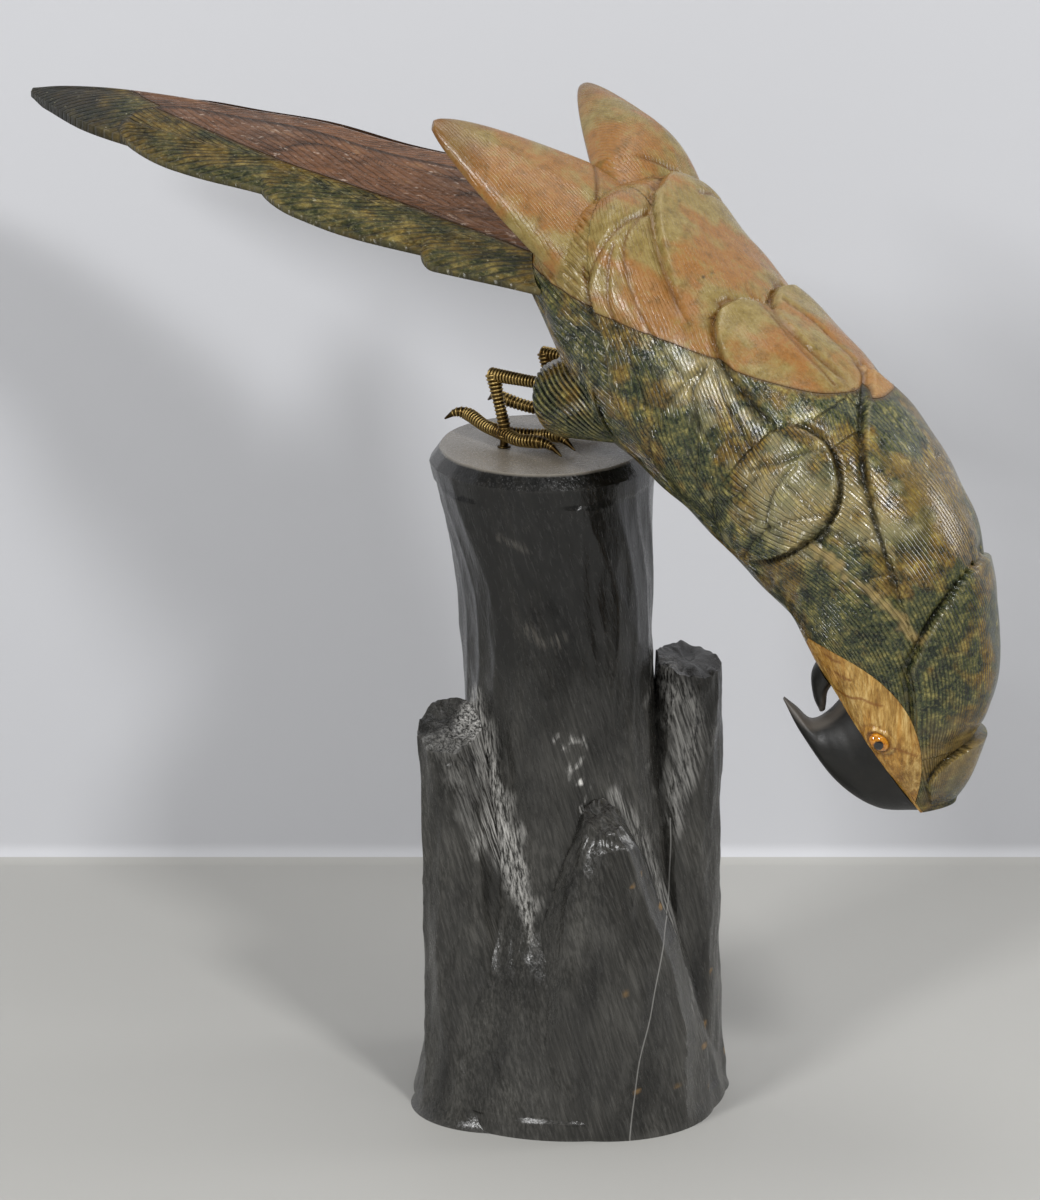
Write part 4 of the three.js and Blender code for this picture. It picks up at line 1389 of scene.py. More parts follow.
    def dress_salmon(self, piece: Piece) -> None:
        """Paints the glue line, brown edges and hot spots of the back, and hands it over."""
        points = corners_of(piece)
        bird = to_bird(points)
        tips = np.minimum(*(distance(bird, np.array(WingTip(1).tip) * [1, side, 1]) for side in (-1, 1)))
        cap = distance(bird, self.skin.point(3.95, 14, 3))
        paint(piece, "edge", fall(tips * (1 + 0.3 * ripple(points, 14, 3)), 4, 44))
        paint(piece, "hot", fall(cap, 12, 30))
        paint(piece, "glue", fall(np.abs(self.above_seam(points)), 0.2, 1.0))
        dots = np.min([distance(bird, speck) for speck in self.specks], axis=0)
        paint(piece, "speck", fall(dots, 0.6, 1.7))
        paint_drift(piece, self.salmon_drift)
        paint_wear_highlight_and_shade(piece)
        finish_piece(piece, "salmon_back", SALMON_STONE.build())

    def dress_green(self, piece: Piece) -> None:
        """Paints the tan vein, the ochre nape, the glue line, paler stone with a painted highlight and
        painted glints of the body, and hands it over.
        """
        points = corners_of(piece)
        vein = self.near_line(points, ((4.68, -87), (4.98, -88), (5.26, -86), (5.68, -82)), 4.6)
        small = self.near_line(points, ((6.03, -69), (6.12, -65), (6.22, -61)), 2)
        spot = distance(points, to_frame(self.skin.point(7.3, -60, 0))) * (1 + 0.3 * ripple(points, 16, 8))
        nape = distance(points, to_frame(self.skin.point(4.9, -20, 4)))
        paint(piece, "tan", np.maximum(np.maximum(vein, small), 0.45 * fall(spot, 8, 30)))
        pale = np.zeros(len(points))
        for station, angle, reach in self.pale_and_highlight_spots:
            for side in (1, -1):
                gap = distance(points, to_frame(self.skin.point(station, side * angle, 4)))
                pale = np.maximum(pale, fall(gap * (1 + 0.3 * ripple(points, 15, 12)), 0.4 * reach, reach))
        # Paler stone with a painted highlight over it.
        paint(piece, "light", pale)
        thigh = distance(to_bird(points), self.thigh_glints)
        paint(piece, "glint", np.maximum(pale, fall(thigh, 14, 40)))
        paint(piece, "ochre", fall(nape * (1 + 0.25 * ripple(points, 18, 9)), 14, 34))
        paint(piece, "glue", fall(np.abs(self.above_seam(points)), 0.2, 1.0))
        paint_drift(piece, self.green_drift)
        paint_wear_highlight_and_shade(piece)
        finish_piece(piece, "green_body", GREEN_STONE.build())

    def dress_face(self, piece: Piece) -> None:
        """Paints the lids and hands the face over."""
        points = corners_of(piece)
        p, q, _ = in_head(points)
        rim = self.eye.almond(p, q)
        paint(piece, "lid", np.exp(-(((rim - 1.05) / 0.18) ** 2)))
        flat = np.column_stack([p, q, np.zeros_like(p)])
        wavy = np.full(len(points), 1e6)
        for crease in self.creases:
            samples = Spline(crease)(np.linspace(0, 1, 50))
            wavy = np.minimum(wavy, away_from(flat, np.column_stack([samples, np.zeros(50)])))
        # Painted shade along the carved creases.
        paint(piece, "crease", fall(wavy, 0.4, 1.1))
        paint_wear_highlight_and_shade(piece)
        finish_piece(piece, "face_slab", YELLOW_STONE.build())


def paint_drift(piece: Piece, spots: Spots) -> None:
    """Paints where a stone drifts to its warm range (above 0) or its cool one, alike on both sides.

    Args:
        piece: The piece.
        spots: Middle in the bird's frame, reach and strength of each spot.
    """
    points = to_bird(corners_of(piece))
    uneven = 1 + 0.3 * ripple(points, 14, 13)
    total = np.zeros(len(points))
    for middle, reach, push in spots:
        for side in (1, -1):
            gap = distance(points, np.array(middle) * [1, side, 1]) * uneven
            total += push * fall(gap, 0.3 * reach, reach)
    paint(piece, "drift", np.clip(total, -1, 1))


def paint_wear_highlight_and_shade(piece: Piece) -> None:
    """Paints ridges pale and hollows dark, from how the surface bends.

    On the stones the pale ridges are a painted highlight and the dark hollows painted shade; the bronze
    reads only the ridges, as gilding rubbed pale.
    """
    points, normals = corners_of(piece), normals_of(piece)
    a, b = edge_ends(piece)
    length = np.linalg.norm(points[b] - points[a], axis=1)
    bend = np.sum((normals[b] - normals[a]) * unit(points[b] - points[a]), axis=1) * (length > 0.2)
    total, count = np.zeros(len(points)), np.full(len(points), 1e-6)
    for end in (a, b):
        np.add.at(total, end, bend)
        np.add.at(count, end, length > 0.2)
    mean = total / count
    uneven = 0.7 + 0.3 * ripple(points, 25, 21)
    # Ridges: painted highlight on the stones, rubbed gilding on the bronze.
    paint(piece, "worn", smooth(mean, 0.1, 0.45) * uneven)
    # Hollows: painted shade, which only the stones read.
    paint(piece, "hollow", smooth(-mean, 0.06, 0.35) * uneven)


@dataclass(frozen=True)
class AmberGlass:
    """Blown glass eye: amber iris under a clear shine, with a black pupil."""

    iris: str = "#c07a14"
    pupil: str = "#080706"
    roughness: float = 0.06

    def build(self) -> Material:
        """Makes the node material."""
        material, tree, shader = new_material("amber glass eye")
        add = partial(add_node, tree)
        place = add("ShaderNodeTexCoord", out="Object")
        cloud = add("ShaderNodeTexNoise", None, {"Vector": place, "Scale": per_metre(2.0), "Detail": 3.0})
        iris = add("ShaderNodeValToRGB", None, {"Fac": cloud})
        fill_ramp(iris.node, ((0.35, "#8a4d0a"), (0.5, self.iris), (0.7, "#d99a2c")))
        mask = add("ShaderNodeAttribute", {"attribute_name": "pupil"}, out="Fac")
        colour = add("ShaderNodeMix", COLOURS, {"Factor": mask, 6: iris, 7: linear(self.pupil)}, 2)
        feed(shader, {"Base Color": colour, "Roughness": self.roughness, "Coat Weight": 1.0})
        return material


@dataclass
class Beak:
    """Upper and lower halves of the black stone beak, glued to the face."""

    face: Face = field(default_factory=Face)
    upper_ridge: Line = ((4, -45), (-19, -43.5), (-41, -29), (-60, -3), (-70, 16))
    upper_mouth: Line = ((-36, 20), (-46, 9), (-55, 5), (-63, 12), (-69, 17))
    upper_half: tuple[float, ...] = (27, 22, 15, 8, 2)
    lower_ridge: Line = ((-50, 40), (-55, 30), (-54, 18), (-50.5, 9.5))
    lower_mouth: Line = ((-40, 31), (-46, 22), (-47, 15), (-47.5, 10.5))
    lower_half: tuple[float, ...] = (17, 14, 10, 3)
    palate_mm: float = 6.0

    def half(self, name: str, ridge: Sequence, mouth: Sequence, half: Sequence) -> Piece:
        """Makes one half of the beak, cut at the face.

        Args:
            name: Name of the object.
            ridge: Outer line in the head's middle plane.
            mouth: Inner line in the same plane.
            half: Half widths along both.

        Returns:
            The half, with the dull inside of the mouth painted.
        """
        t = np.linspace(0, 1, 90)
        outer, inner = Spline(ridge)(t)[:, None, :], Spline(mouth)(t)[:, None, :]
        wide = Spline([(w,) for w in half])(t)
        turn = full_turn(72)[None, :]
        k = ((1 + np.cos(turn)) / 2)[..., None]
        line = mix(inner, outer, k)
        growth = 1 + 0.002 * np.sin(t * 60)[:, None] + 0.006 * np.sin(t * 23 + 1)[:, None]
        points = head_point(line[..., 0], line[..., 1], wide * np.sin(turn) * growth)
        piece = loft(name, to_frame(points))
        combine(piece, self.face.behind_beak("beak_plane", SEAM, 1), Join.SHARE)
        p, q, s = in_head(corners_of(piece))
        inside = Spline(mouth)(np.linspace(0, 1, 80))
        samples = np.column_stack([inside, np.zeros(len(inside))])
        flat = np.column_stack([p, q, np.zeros_like(p)])
        inward = away_from(flat, samples) + 0.12 * np.abs(s)
        paint(piece, "palate", fall(inward, 0.5 * self.palate_mm, self.palate_mm))
        return piece

    def build(self) -> None:
        """Makes and dresses both halves."""
        material = BEAK_STONE.build()
        for node, shape in (
            ("upper_beak", (self.upper_ridge, self.upper_mouth, self.upper_half)),
            ("lower_beak", (self.lower_ridge, self.lower_mouth, self.lower_half)),
        ):
            finish_piece(self.half(f"{node}_stone", *shape), node, material, 40)


@dataclass
class Tail:
    """Long tail of two glued layers, with overlapping feathers carved across both."""

    rows: tuple[tuple[float, float, float, float, float], ...] = (
        (-362, 155, 2, 2, 3), (-340, 158, 8, 11, 6), (-300, 161, 16, 25, 10), (-250, 161.5, 21, 32, 14),
        (-200, 160, 23.5, 37, 18), (-146, 159, 25.5, 39, 21), (-90, 153, 27.5, 41, 24),
        (-30, 150, 28.5, 41, 27), (30, 147, 28.5, 41, 29), (62, 145, 28.5, 41, 30),
    )
    arch: float = 1.35
    edge_thick: float = 5.0
    feathers: Path = ((-274, 0.3, 1.2), (-160, 0.45, 1.32), (-37, 0.6, 1.45))
    lift: float = 3.2
    seam_height: float = 121.5
    seam_fall: float = 0.14
    barb_mm: float = 3.2
    barb_lean: float = 0.3
    bevel: float = 2.2
    bevel_mm: float = 5.0
    middle_grid: tuple[int, int] = (300, 64)
    feather_grid: tuple[int, int] = (156, 38)

    def __post_init__(self) -> None:
        """Draws the curves of ridge, fall, half width and thickness."""
        self.curve = Spline(self.rows)
        self.first, self.last = self.rows[0][0], self.rows[-1][0]
        self.places = self.curve(np.linspace(0, 1, 800))

    def point(self, x: Array, part: Array, lift: Number, under: Number = 0.0) -> Array:
        """Points of the tail in the bird's frame.

        Args:
            x: Forward places.
            part: Sideways places as parts of the half width.
            lift: Height above the plain tail.
            under: 0 on the upper face, 1 on the under face.

        Returns:
            One point for each place.
        """
        x, part = np.broadcast_arrays(np.asarray(x, float), np.asarray(part, float))
        ridge, drop, half, thick = (np.interp(x, self.places[:, 0], self.places[:, i]) for i in range(1, 5))
        size = np.abs(part)
        depth = mix(thick, np.minimum(thick, self.edge_thick), np.minimum(1, size))
        return np.stack([x, part * half, ridge - drop * size**self.arch + lift - under * depth], axis=-1)

    def shaft(self, across: Array, fade: Array) -> Array:
        """Height of a feather's shaft, with a fine groove on both sides."""
        groove = np.exp(-(((np.abs(across) - 2.2) / 0.8) ** 2))
        return fade * (0.6 * np.exp(-((across / 1.1) ** 2)) - 0.4 * groove)

    def marks(self, x: Array, across: Array) -> Marks:
        """Count and depth of the barbs, which leave the shaft at a slant towards the tip."""
        count = (self.barb_lean * x + 6 * (np.abs(across) + 2) ** 0.6) / self.barb_mm
        return {"barb": count, "carve": np.ones_like(count), "rim": np.zeros_like(count)}

    def middle(self, name: str) -> Piece:
        """Makes the long middle of the tail."""
        x = np.linspace(self.first, self.last, self.middle_grid[0])[:, None]
        part = np.linspace(-1, 1, self.middle_grid[1])[None, :]
        half = np.interp(x, self.places[:, 0], self.places[:, 3])
        fade = smooth(1 - np.abs(part), 0.0, 0.12) * smooth(x, self.first, self.first + 30)
        upper = self.point(x, part, self.shaft(part * half, fade))
        lower = self.point(x, part, 0, 1)
        return slab(name, to_frame(upper), to_frame(lower), self.marks(x, part * half))

    def feather(self, name: str, tip: float, inner: float, outer: float, side: int) -> Piece:
        """Makes one side feather.

        Args:
            name: Name of the object.
            tip: Forward place of the tip.
            inner: Inner edge as a part of the half width.
            outer: Outer edge as a part of the half width.
            side: -1 on the near side, 1 on the far side.

        Returns:
            The feather as a closed solid.
        """
        run = (np.linspace(0, 1, self.feather_grid[0]) ** 1.35)[:, None]
        j = np.linspace(0, 1, self.feather_grid[1])[None, :]
        x = mix(tip, self.last, run) * np.ones_like(j)
        core = mix(inner, outer, 0.62)
        reach = np.maximum(bow(6 * run + 0.002), 0.06)
        part = mix(core, mix(inner, outer, j), reach)
        half = np.interp(x, self.places[:, 0], self.places[:, 3])
        edge = np.minimum(np.minimum(j, 1 - j) * 40, (x - tip) * 0.5 + 0.2)
        across = (part - core) * half
        worn = fall(np.minimum((1 - j) * (outer - inner) * half, (x - tip) * 0.7), 0, self.bevel_mm)
        raised = self.lift + self.shaft(across, smooth(edge, 0.5, 3)) - self.bevel * worn
        upper = self.point(x, side * part, raised)
        lower = self.point(x, side * part, -1, 0.9 - 0.7 * worn)
        marks = self.marks(x, across)
        round_mm = np.minimum(j * (outer - inner) * half * reach, (x - tip) * 0.6)
        # Painted shade along the feather's inner edge and round its tip, where it lies over the tail.
        marks["rim"] = fall(round_mm, 0.7, 2.6)
        return slab(name, to_frame(upper), to_frame(lower), marks)

    def build(self, skin: Skin) -> None:
        """Joins the feathers, frees them from the body and parts them at the glue plane.

        Args:
            skin: The bird's skin, which the tail meets.
        """
        tail = self.middle("tail_whole")
        for number, (tip, inner, outer) in enumerate(self.feathers):
            for side in (-1, 1):
                feather = self.feather(f"tail_feather_{number}_{side}", tip, inner, outer, side)
                combine(tail, feather, Join.UNION)
        station = np.linspace(0, skin.last / 2, 60)[:, None] * np.ones((1, 90))
        angle = np.linspace(-180, 180, 90, endpoint=False)[None, :] * np.ones((60, 1))
        combine(tail, loft("body_room", to_frame(skin.point(station, angle, 0.9))), Join.CUT)
        for side in (-1, 1):
            combine(tail, WingTip(side, rows=40, columns=60).build("tip_room", 0.9), Join.CUT)
        normal = np.array([self.seam_fall, 0, 1.0])
        mauve = copy_of(tail, "tail_mauve_stone")
        for piece, way in ((mauve, 1), (tail, -1)):
            at = np.array([0, 0, self.seam_height + way * SEAM / 2])
            combine(piece, half_space("tail_plane", at, normal * way), Join.SHARE)
            largest_part(piece)
        tail.name = "tail_green_stone"
        for piece in (mauve, tail):
            points = corners_of(piece)
            x, _, z = np.moveaxis(to_bird(points), -1, 0)
            paint(piece, "glue", fall(np.abs(z - self.seam_height + self.seam_fall * x), 0.2, 1.0))
            # Painted shade on the faces that turn sideways and down.
            paint(piece, "edge", fall(normals_of(piece)[:, 2], 0.1, 0.5))
            paint(piece, "dark", smooth(-x + 14 * ripple(points, 26, 15), 245, 330))
            paint_wear_highlight_and_shade(piece)
        finish_piece(mauve, "tail_mauve", MAUVE_STONE.build())
        finish_piece(tail, "tail_green", TAIL_GREEN_STONE.build())


# Feet


@dataclass(frozen=True)
class GiltBronze:
    """Cast bronze with worn gilding: brown in the hollows, pale gold where it is rubbed."""

    hollow: str = "#241a0c"
    body: str = "#755c33"
    rubbed: str = "#b39a62"

    def build(self) -> Material:
        """Makes the node material."""
        material, tree, shader = new_material("worn gilt bronze")
        add = partial(add_node, tree)
        place = add("ShaderNodeTexCoord", out="Object")
        cloud = add("ShaderNodeTexNoise", None, {"Vector": place, "Scale": per_metre(5.0), "Detail": 5.0})
        marks = ("worn", "ring")
        bend, ring = (add("ShaderNodeAttribute", {"attribute_name": mark}, out="Fac") for mark in marks)
        level = add("ShaderNodeMath", MULTIPLY_ADD, {0: bend, 1: 0.5, 2: cloud})
        tone = add("ShaderNodeValToRGB", None, {"Fac": level})
        fill_ramp(tone.node, ((0.32, self.hollow), (0.55, self.body), (0.85, self.rubbed)))
        gloss = add(
            "ShaderNodeMapRange", None,
            {"Value": cloud, "From Min": 0.3, "From Max": 0.7, "To Min": 0.34, "To Max": 0.55},
        )
        gap = add("ShaderNodeMapRange", None, {"Value": ring, "To Min": 0.75, "To Max": 0.0})
        colour = add("ShaderNodeMix", COLOURS, {"Factor": gap, 6: tone, 7: linear(self.hollow)}, 2)
        feed(shader, {"Base Color": colour, "Roughness": gloss, "Metallic": 1.0})
        return material


@dataclass
class Foot:
    """Bronze leg with ring scales, three toes with claws and a peg into the stump."""

    side: int
    at: Pair
    knob: float = 40.0
    middle: float = 27.0
    ankle: float = 13.0
    shank: float = 3.2
    back: Pair = (-7.0, -4.0)
    rod: float = 3.0
    knee: Triple = (42.0, 30.0, 40.0)
    toe_height: float = 7.0
    toe_radius: float = 3.1
    claw_radius: float = 2.3
    toes: tuple[Line, ...] = (
        ((-16, 4), (-30, 8), (-37, 6), (-44, 4)),
        ((14, 11), (27, 13), (32, 12), (41, 10)),
        ((13, -4), (26, -5), (33, -3), (43, -5)),
    )
    rises: tuple[float, ...] = (6.5, 0.0, 0.0)
    ring_mm: float = 2.1
    ring_height: float = 0.17

    def point(self, dx: float, dy: float, z: float) -> Triple:
        """Point by its distance from the perch point of this foot."""
        return self.at[0] + dx, self.at[1] - self.side * dy, z

    def bars(self) -> list[tuple[list[Triple], list[float], bool]]:
        """Paths, radii and whether rings go on them, for shank, rod, peg and toes."""
        knob = self.point(self.back[0], 0, self.knob)
        ankle = [self.point(0, 0, self.ankle), self.point(0, 0, self.toe_height)]
        shank = [knob, self.point(self.back[1], 0, self.middle), *ankle]
        knee = (self.knee[0], self.side * self.knee[1], self.knee[2])
        half_way = tuple((a + b) / 2 for a, b in zip(knob, knee))
        rod = [self.point(self.back[0] - 1.2, 0, self.knob), half_way, knee]
        peg = [self.point(0, 0, z) for z in (SEAM, 1.2, 1.8, self.toe_height)]
        made = [
            (shank, [self.shank + 0.9, self.shank - 0.2, self.shank, self.shank + 0.8], True),
            (rod, [self.rod + 0.5, self.rod, self.rod], True),
            (peg, [3.6, 3.6, 2.4, 2.2], False),
        ]
        for toe, rise in zip(self.toes, self.rises):
            heights = [self.toe_height + rise * (i + 1) / 3 for i in range(3)]
            heights[1] += 1.2
            joints = [self.point(*pair, z) for pair, z in zip(toe[:-1], heights)]
            claw = self.point(*toe[-1], 2.6 + rise)
            path = [self.point(0, 0, self.toe_height + 1), *joints, claw]
            radii = [self.toe_radius + 0.5, self.toe_radius, self.toe_radius + 0.2, self.claw_radius, 0.5]
            made.append((path, radii, True))
        return made

    def paths(self, name: str) -> Piece:
        """Wires of shank, rod, toes and peg, with the thickness along them and where the rings go."""
        points, edges, thick, ringed = [], [], [], []
        for path, radii, has_rings in self.bars():
            t = np.linspace(0, 1, 8 * (len(path) - 1))
            first = len(points)
            points += list(to_frame(Spline(path)(t)) * MM)
            edges += [(first + i, first + i + 1) for i in range(len(t) - 1)]
            radius = Spline([(r,) for r in radii])(t)[:, 0]
            thick += list(radius * MM)
            ringed += list(has_rings * (radius > 0.75 * self.claw_radius))
        data = bpy.data.meshes.new(name)
        data.from_pydata([tuple(p) for p in points], edges, [])
        piece = add_object(name, data)
        for label, values in (("thick", thick), ("ringed", ringed)):
            paint(piece, label, np.array(values))
        return piece

    def build(self, name: str, node: str, scales: Tree, material: Material) -> None:
        """Makes, dresses and hands over the foot.

        Args:
            name: Name of the piece.
            node: Solid that the piece stands for.
            scales: Node group that sweeps the bars and puts the ring scales on them.
            material: Finish of the bronze.
        """
        piece = self.paths(name)
        modifier = piece.modifiers.new("ring_scales", "NODES")
        modifier.node_group = scales
        values = {"Ring Distance": self.ring_mm * MM, "Ring Height": self.ring_height, "Material": material}
        for item in scales.interface.items_tree:
            if item.item_type == "SOCKET" and item.in_out == "INPUT" and item.name in values:
                modifier[item.identifier] = values[item.name]
        settle(piece)
        paint_wear_highlight_and_shade(piece)
        finish_piece(piece, node, material, 60)


def ring_scale_tree() -> Tree:
    """Node group that sweeps a round bar along each curve and threads raised ring scales on it.

    Returns:
        The node group, with inputs for the rings' distance, their height and the material.
    """
    tree = bpy.data.node_groups.new("bronze ring scales", "GeometryNodeTree")
    for name, kind in (
        ("Geometry", "Geometry"), ("Ring Distance", "Float"), ("Ring Height", "Float"),
        ("Material", "Material"),
    ):
        tree.interface.new_socket(name, in_out="INPUT", socket_type=f"NodeSocket{kind}")
    tree.interface.new_socket("Geometry", in_out="OUTPUT", socket_type="NodeSocketGeometry")
    add = partial(add_node, tree)
    start = add("NodeGroupInput").node.outputs
    thick, ringed = (
        add("GeometryNodeInputNamedAttribute", {"data_type": "FLOAT"}, {"Name": name})
        for name in ("thick", "ringed")
    )
    wires = add("GeometryNodeMeshToCurve", None, {"Mesh": start["Geometry"]})
    wires = add("GeometryNodeSetCurveRadius", None, {"Curve": wires, "Radius": thick})
    section = add("GeometryNodeCurvePrimitiveCircle", None, {"Resolution": 16, "Radius": 1.0})
    bar = add(
        "GeometryNodeCurveToMesh", None, {"Curve": wires, "Profile Curve": section, "Fill Caps": True}
    )
    if "Scale" in bar.node.inputs:
        feed(bar.node, {"Scale": thick})
    beads = add(
        "GeometryNodeCurveToPoints", {"mode": "LENGTH"}, {"Curve": wires, "Length": start["Ring Distance"]}
    )
    bead = add("GeometryNodeCurvePrimitiveCircle", None, {"Resolution": 8, "Radius": start["Ring Height"]})
    ring = add("GeometryNodeCurveToMesh", None, {"Curve": section, "Profile Curve": bead})
    marked = add(
        "GeometryNodeStoreNamedAttribute", {"data_type": "FLOAT", "domain": "POINT"},
        {"Geometry": ring, "Name": "ring", "Value": 1.0},
    )
    threaded = add(
        "GeometryNodeInstanceOnPoints", None,
        {"Points": beads, "Selection": ringed, "Instance": marked, "Scale": thick,
         "Rotation": beads.node.outputs["Rotation"]},
    )
    joined = add("GeometryNodeJoinGeometry", None, {"Geometry": threaded})
    feed(joined.node, {"Geometry": bar})
    plain = add("GeometryNodeRealizeInstances", None, {"Geometry": joined})
    dressed = add("GeometryNodeSetMaterial", None, {"Geometry": plain, "Material": start["Material"]})
    add("NodeGroupOutput", None, {"Geometry": dressed})
    return tree


# Stump


@dataclass(frozen=True)
class Branch:
    """Broken branch of the stump: a tapering round stub with an uneven, slanting top."""

    foot: Pair
    head: Pair
    radii: Pair
    taper: float
    height: float
    slope: Pair
    rough: float
    seed: int
    planes: int = 9
    rows: int = 130
    columns: int = 110

    def rings(self) -> Array:
        """Rings from the foot to the middle of the broken top, in the frame of the solids."""
        k = np.linspace(0, 1, self.rows)[:, None]
        turn = full_turn(self.columns)[None, :]
        radius = mix(self.radii[0], self.radii[1], k**self.taper)
        tilt = smooth(k, 0.9, 1.0)
        shrink = np.concatenate([np.ones(self.rows), [0.93, 0.8, 0.62, 0.42, 0.22, 0.06]])[:, None]
        extra = np.repeat([[1.0]], len(shrink) - self.rows, axis=0)
        k, tilt = np.concatenate([k, extra]), np.concatenate([tilt, extra])
        radius = np.concatenate([radius, np.repeat(radius[-1:], len(extra), axis=0)]) * shrink
        dx, dy = radius * np.cos(turn), radius * np.sin(turn)
        x = mix(self.foot[0], self.head[0], k) + dx
        y = mix(self.foot[1], self.head[1], k) + dy
        z = self.height * k + tilt * (self.slope[0] * dx + self.slope[1] * dy)
        points = np.stack([x, y, z], axis=-1)
        out = np.stack([np.cos(turn) * np.ones_like(k), np.sin(turn) * np.ones_like(k), 0 * x], axis=-1)
        worked = chiselled(points, self.seed) + planed(turn, z, radius, self.planes, self.seed)
        points += out * (worked * smooth(z, 0, 12) * shrink)[..., None]
        broken = self.rough * (ripple(points, 14, self.seed) + 0.4 * ripple(points, 5, self.seed + 1))
        points[..., 2] += broken * smooth(k, 0.97, 1.0)
        return points


def planed(turn: Array, z: Array, radius: Array, count: int, seed: int) -> Array:
    """Inward shift that turns a round section into long flat planes with wandering edges.

    Args:
        turn: Angles round the section.
        z: Heights.
        radius: Radius of the section.
        count: Number of planes round the section.
        seed: Seed of the edges' wandering.

    Returns:
        Shift in millimetres, 0 along the edges between planes.
    """
    rng = np.random.default_rng(seed)
    sway = sum(0.1 * np.sin(z / size + rng.uniform(0, 6)) for size in (70.0, 41.0, 23.0))
    uneven = 0.35 * np.sin(3 * turn + rng.uniform(0, 6)) / 3
    cell = (turn + uneven + sway) * count / (2 * math.pi)
    beside = cell - np.floor(cell) - 0.5
    half = math.pi / count
    return radius * (math.cos(half) / np.cos(2 * half * beside) - 1)


def chiselled(points: Array, seed: int) -> Array:
    """Outward shift of worked stone: shallow waves, gouges and fine upright scratches.

    Args:
        points: Places in millimetres.
        seed: Seed of the pattern.

    Returns:
        Shift in millimetres.
    """
    waves = 0.5 * ripple(points, 46, seed)
    gouges = 0.7 * np.abs(ripple(points * [1.0, 1.0, 0.35], 17, seed + 1))
    lines = 0.12 * ripple(points * [1.0, 1.0, 0.06], 3.6, seed + 2)
    return waves - gouges + 0.4 + lines


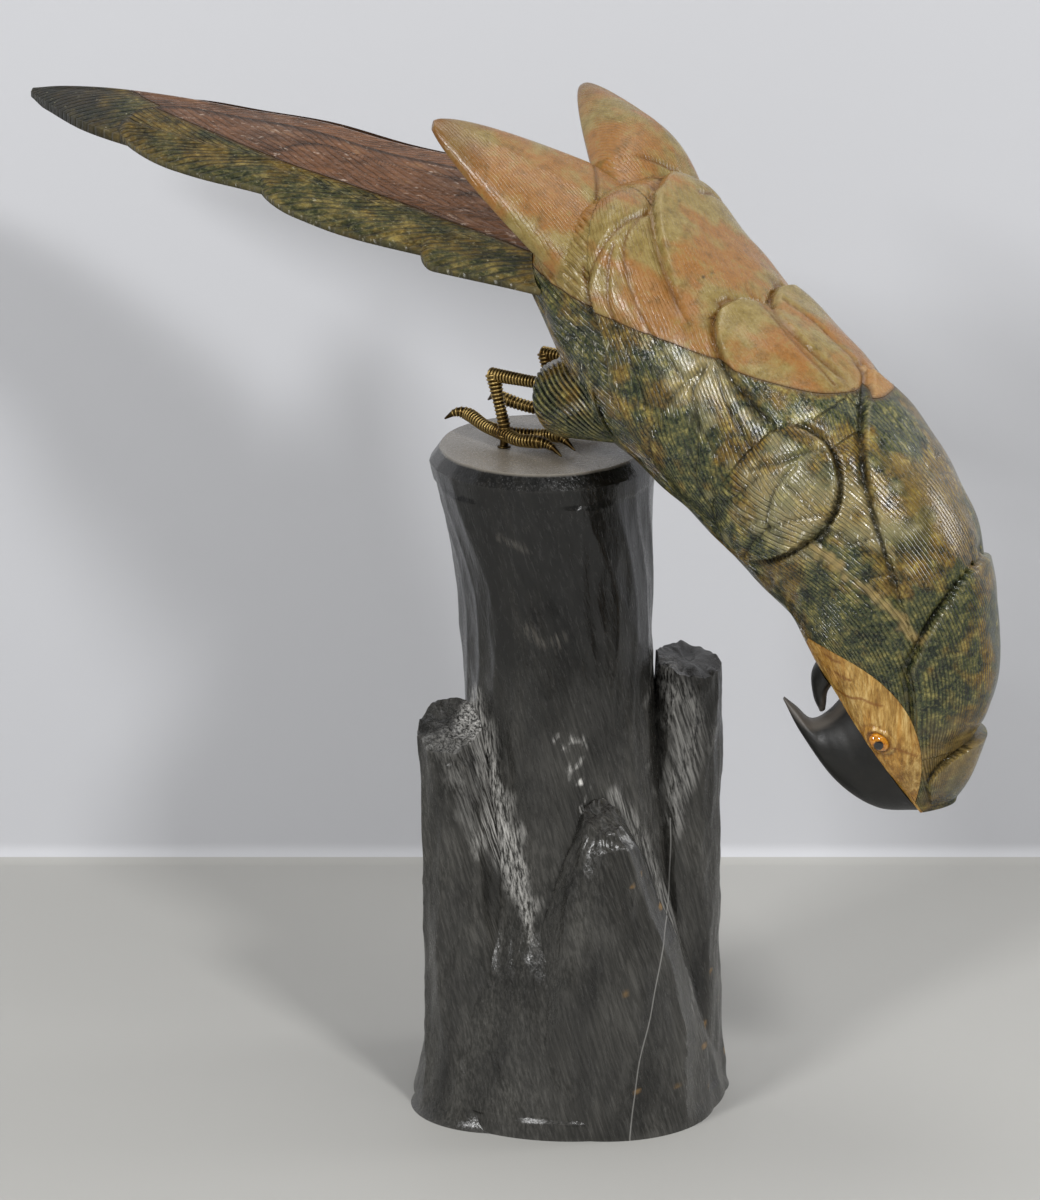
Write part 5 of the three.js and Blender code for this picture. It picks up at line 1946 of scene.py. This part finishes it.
@dataclass
class Stump:
    """Black stone tree stump with a broken stub on each side and a low branch in front."""

    column: tuple[tuple[float, float, float, float, float], ...] = (
        (0, 1, 0, 88, 88), (20, 1, 0, 84, 86), (80, 0, 1, 71, 78), (120, 0, 4, 60, 67),
        (180, -2, 5, 55, 61), (250, -5, 6, 53, 59), (300, -8, 10, 55, 61), (340, -13, 15, 59, 69),
        (360, -15, 18, 62, 74), (STUMP_TOP, -15, 18, 56, 68),
    )
    wave: tuple[float, float, float, float] = (0.018, 5, 10, 350)
    branches: tuple[Branch, ...] = (
        Branch((-38, -26), (-66, -24), (50, 18), 0.6, 219, (0.1, 0.6), 1.0, 31),
        Branch((54, 4), (66, 2), (37, 19), 0.6, 249, (-0.15, 0.2), 1.2, 41),
        Branch((20, -26), (18, -60), (62, 11), 1.6, 178, (-0.2, 0.6), 0.8, 51),
    )
    rows: int = 230
    columns: int = 240
    planes: int = 17
    crack: Path = (
        (56, -19, 166), (56, -20, 134), (52, -66, 110), (45, -81, 77), (38, -86, 43), (33, -84, 1),
    )
    # Lines, half widths and strengths of the painted highlight streaks along the chisel cuts.
    grooved: tuple[tuple[Path, float, float], ...] = (
        (((-52, -20, 230), (-45, -30, 201), (-38, -40, 170), (-30, -51, 139), (-22, -62, 108)), 14.0, 1.0),
        (((-66, -34, 214), (-58, -38, 190), (-50, -48, 150)), 14.0, 0.3),
        (((50, -8, 247), (61, -16, 232), (67, -18, 209), (59, -19, 175), (61, -21, 152)), 15.0, 0.45),
        (((24, -47, 187), (40, -38, 159), (56, -28, 111), (70, -49, 56)), 7.0, 0.5),
    )
    sight: Path = ((1.0, 0.0, 0.0), (0.0, 0.0, 0.27), (0.0, 0.0, 0.96))
    # Lines of the painted glints on the chisel facets and the rim.
    chips: tuple[Path, ...] = (
        ((-4, -54, 219), (6, -53, 213), (1, -55, 200), (11, -53, 191), (5, -55, 179), (18, -50, 185)),
        ((-9, -51, 366), (-5, -50, 366), (-1, -49, 366)),
    )
    dusty: tuple[Path, ...] = (
        ((-23, -49, 280), (-13, -51, 273), (-5, -51, 276), (-8, -52, 265)),
        ((-38, -46, 331), (-27, -50, 326), (-16, -51, 321)),
    )

    def trunk(self, name: str) -> Piece:
        """Makes the column, with its narrow worn rim at the top."""
        rows = np.array(self.column)
        shoulder = rows[-2, 0]
        rim = [shoulder + 3, STUMP_TOP - 1.5, STUMP_TOP]
        level = np.concatenate([np.linspace(0, shoulder, self.rows), rim])
        drawn = np.vstack([Spline(rows[:-1])(np.linspace(0, 1, 500)), rows[-1:]])
        x, y, wide, deep = (np.interp(level, drawn[:, 0], drawn[:, i])[:, None] for i in range(1, 5))
        z = level[:, None]
        turn = full_turn(self.columns)[None, :]
        size, times, low, high = self.wave
        row = np.interp(z, rows[:, 0], np.arange(len(rows)))
        bend = 1 + size * np.sin(times * turn + row) * (z > low) * (z < high)
        out = np.stack([np.cos(turn) + 0 * z, np.sin(turn) + 0 * z, 0 * z + 0 * turn], axis=-1)
        right, back = wide * bend * np.cos(turn), deep * bend * np.sin(turn)
        points = np.stack([x + right, y + back, z + 0 * turn], axis=-1)
        worked = 0.5 * chiselled(points, 61) + planed(turn, z, wide, self.planes, 62)
        points += out * (worked * smooth(z, 0, 14) * (1 - 0.6 * smooth(z, 330, 362)))[..., None]
        return loft(name, points)

    def beside(self, points: Array, lines: Sequence[Sequence[Triple]], half: float) -> Array:
        """Soft mask with a ragged edge on both sides of some lines.

        Args:
            points: Places in millimetres.
            lines: Points of each line.
            half: Half width of the mask.

        Returns:
            Mask from 0 to 1.
        """
        mask = np.zeros(len(points))
        ragged = 1 + 0.25 * ripple(points, 16, 77)
        for line in lines:
            taper = np.clip((points[:, 2] - line[-1][2]) / 45 + 0.15, 0.15, 1)
            gap = away_from(points, Spline(line)(np.linspace(0, 1, 90))) * ragged / taper
            mask = np.maximum(mask, fall(gap, 0.25 * half, 1.1 * half))
        return mask

    def build(self) -> None:
        """Joins column and branches, paints a paler top, scuffs, rust, crack and dull breaks, painted
        highlights and painted shade, and hands the stump over.
        """
        piece = self.trunk("stump_stone")
        for number, branch in enumerate(self.branches):
            stub = loft(f"stub_{number}", branch.rings())
            combine(stub, half_space("foot_plane", to_bird(np.zeros(3)), np.array([0, 0, 1.0])), Join.SHARE)
            combine(piece, stub, Join.UNION)
        points, normals = corners_of(piece), normals_of(piece)
        x, y, z = points.T
        top = smooth(normals[:, 2], 0.6, 0.9)
        # Paler on the upward faces at the very top.
        paint(piece, "dust", top * smooth(z, STUMP_TOP - 4, STUMP_TOP - 1) * 0.9)
        paint(piece, "scuff", self.beside(points, self.dusty, 10))
        # Painted glints on the chisel facets and along the rim.
        chips = np.maximum(self.beside(points, self.chips[:1], 7), self.beside(points, self.chips[1:], 3))
        paint(piece, "chip", 1.4 * chips * smooth(ripple(points * [1, 1, 0.5], 5, 75, 24), -0.3, 0.8))
        # Painted highlight streaks along the chisel cuts.
        bright = np.zeros(len(points))
        for line, half, share in self.grooved:
            bright = np.maximum(bright, share * self.beside(points, (line,), half))
        paint(piece, "pale", bright)
        paint(piece, "low", fall(z, 150, 310) * (0.8 + 0.3 * ripple(points * [1, 1, 0.3], 22, 76)))
        paint(piece, "dull", top * (z < STUMP_TOP - 20) * (x > 0))
        seen = points @ np.array(self.sight)
        line = (Spline(self.crack)(np.linspace(0, 1, 240)) @ np.array(self.sight))[::-1]
        aside = x - np.interp(seen[:, 2], line[:, 2], line[:, 0]) + 0.3 * ripple(points, 30, 78)
        hidden = (normals[:, 1] > 0.2) | (seen[:, 2] > line[-1, 2])
        paint(piece, "crack", aside + 50 * np.sign(aside) * hidden)
        paint(piece, "rust", smooth(ripple(points, 13, 71), 1.6, 2.0) * (x > 30) * (z < 160))
        paint_wear_highlight_and_shade(piece)
        finish_piece(piece, "stump", STUMP_STONE.build(), 38)


def main() -> None:
    """Builds the studio and every piece."""
    logging.basicConfig(level=logging.INFO)
    Studio().build()
    bird = Bird()
    bird.build()
    Beak().build()
    Tail().build(bird.skin)
    scales, bronze = ring_scale_tree(), GiltBronze().build()
    Foot(-1, (4, -29)).build("foot_near_bronze", "foot_near", scales, bronze)
    Foot(1, (-4, 29)).build("foot_far_bronze", "foot_far", scales, bronze)
    Stump().build()


if __name__ == "__main__":
    main()
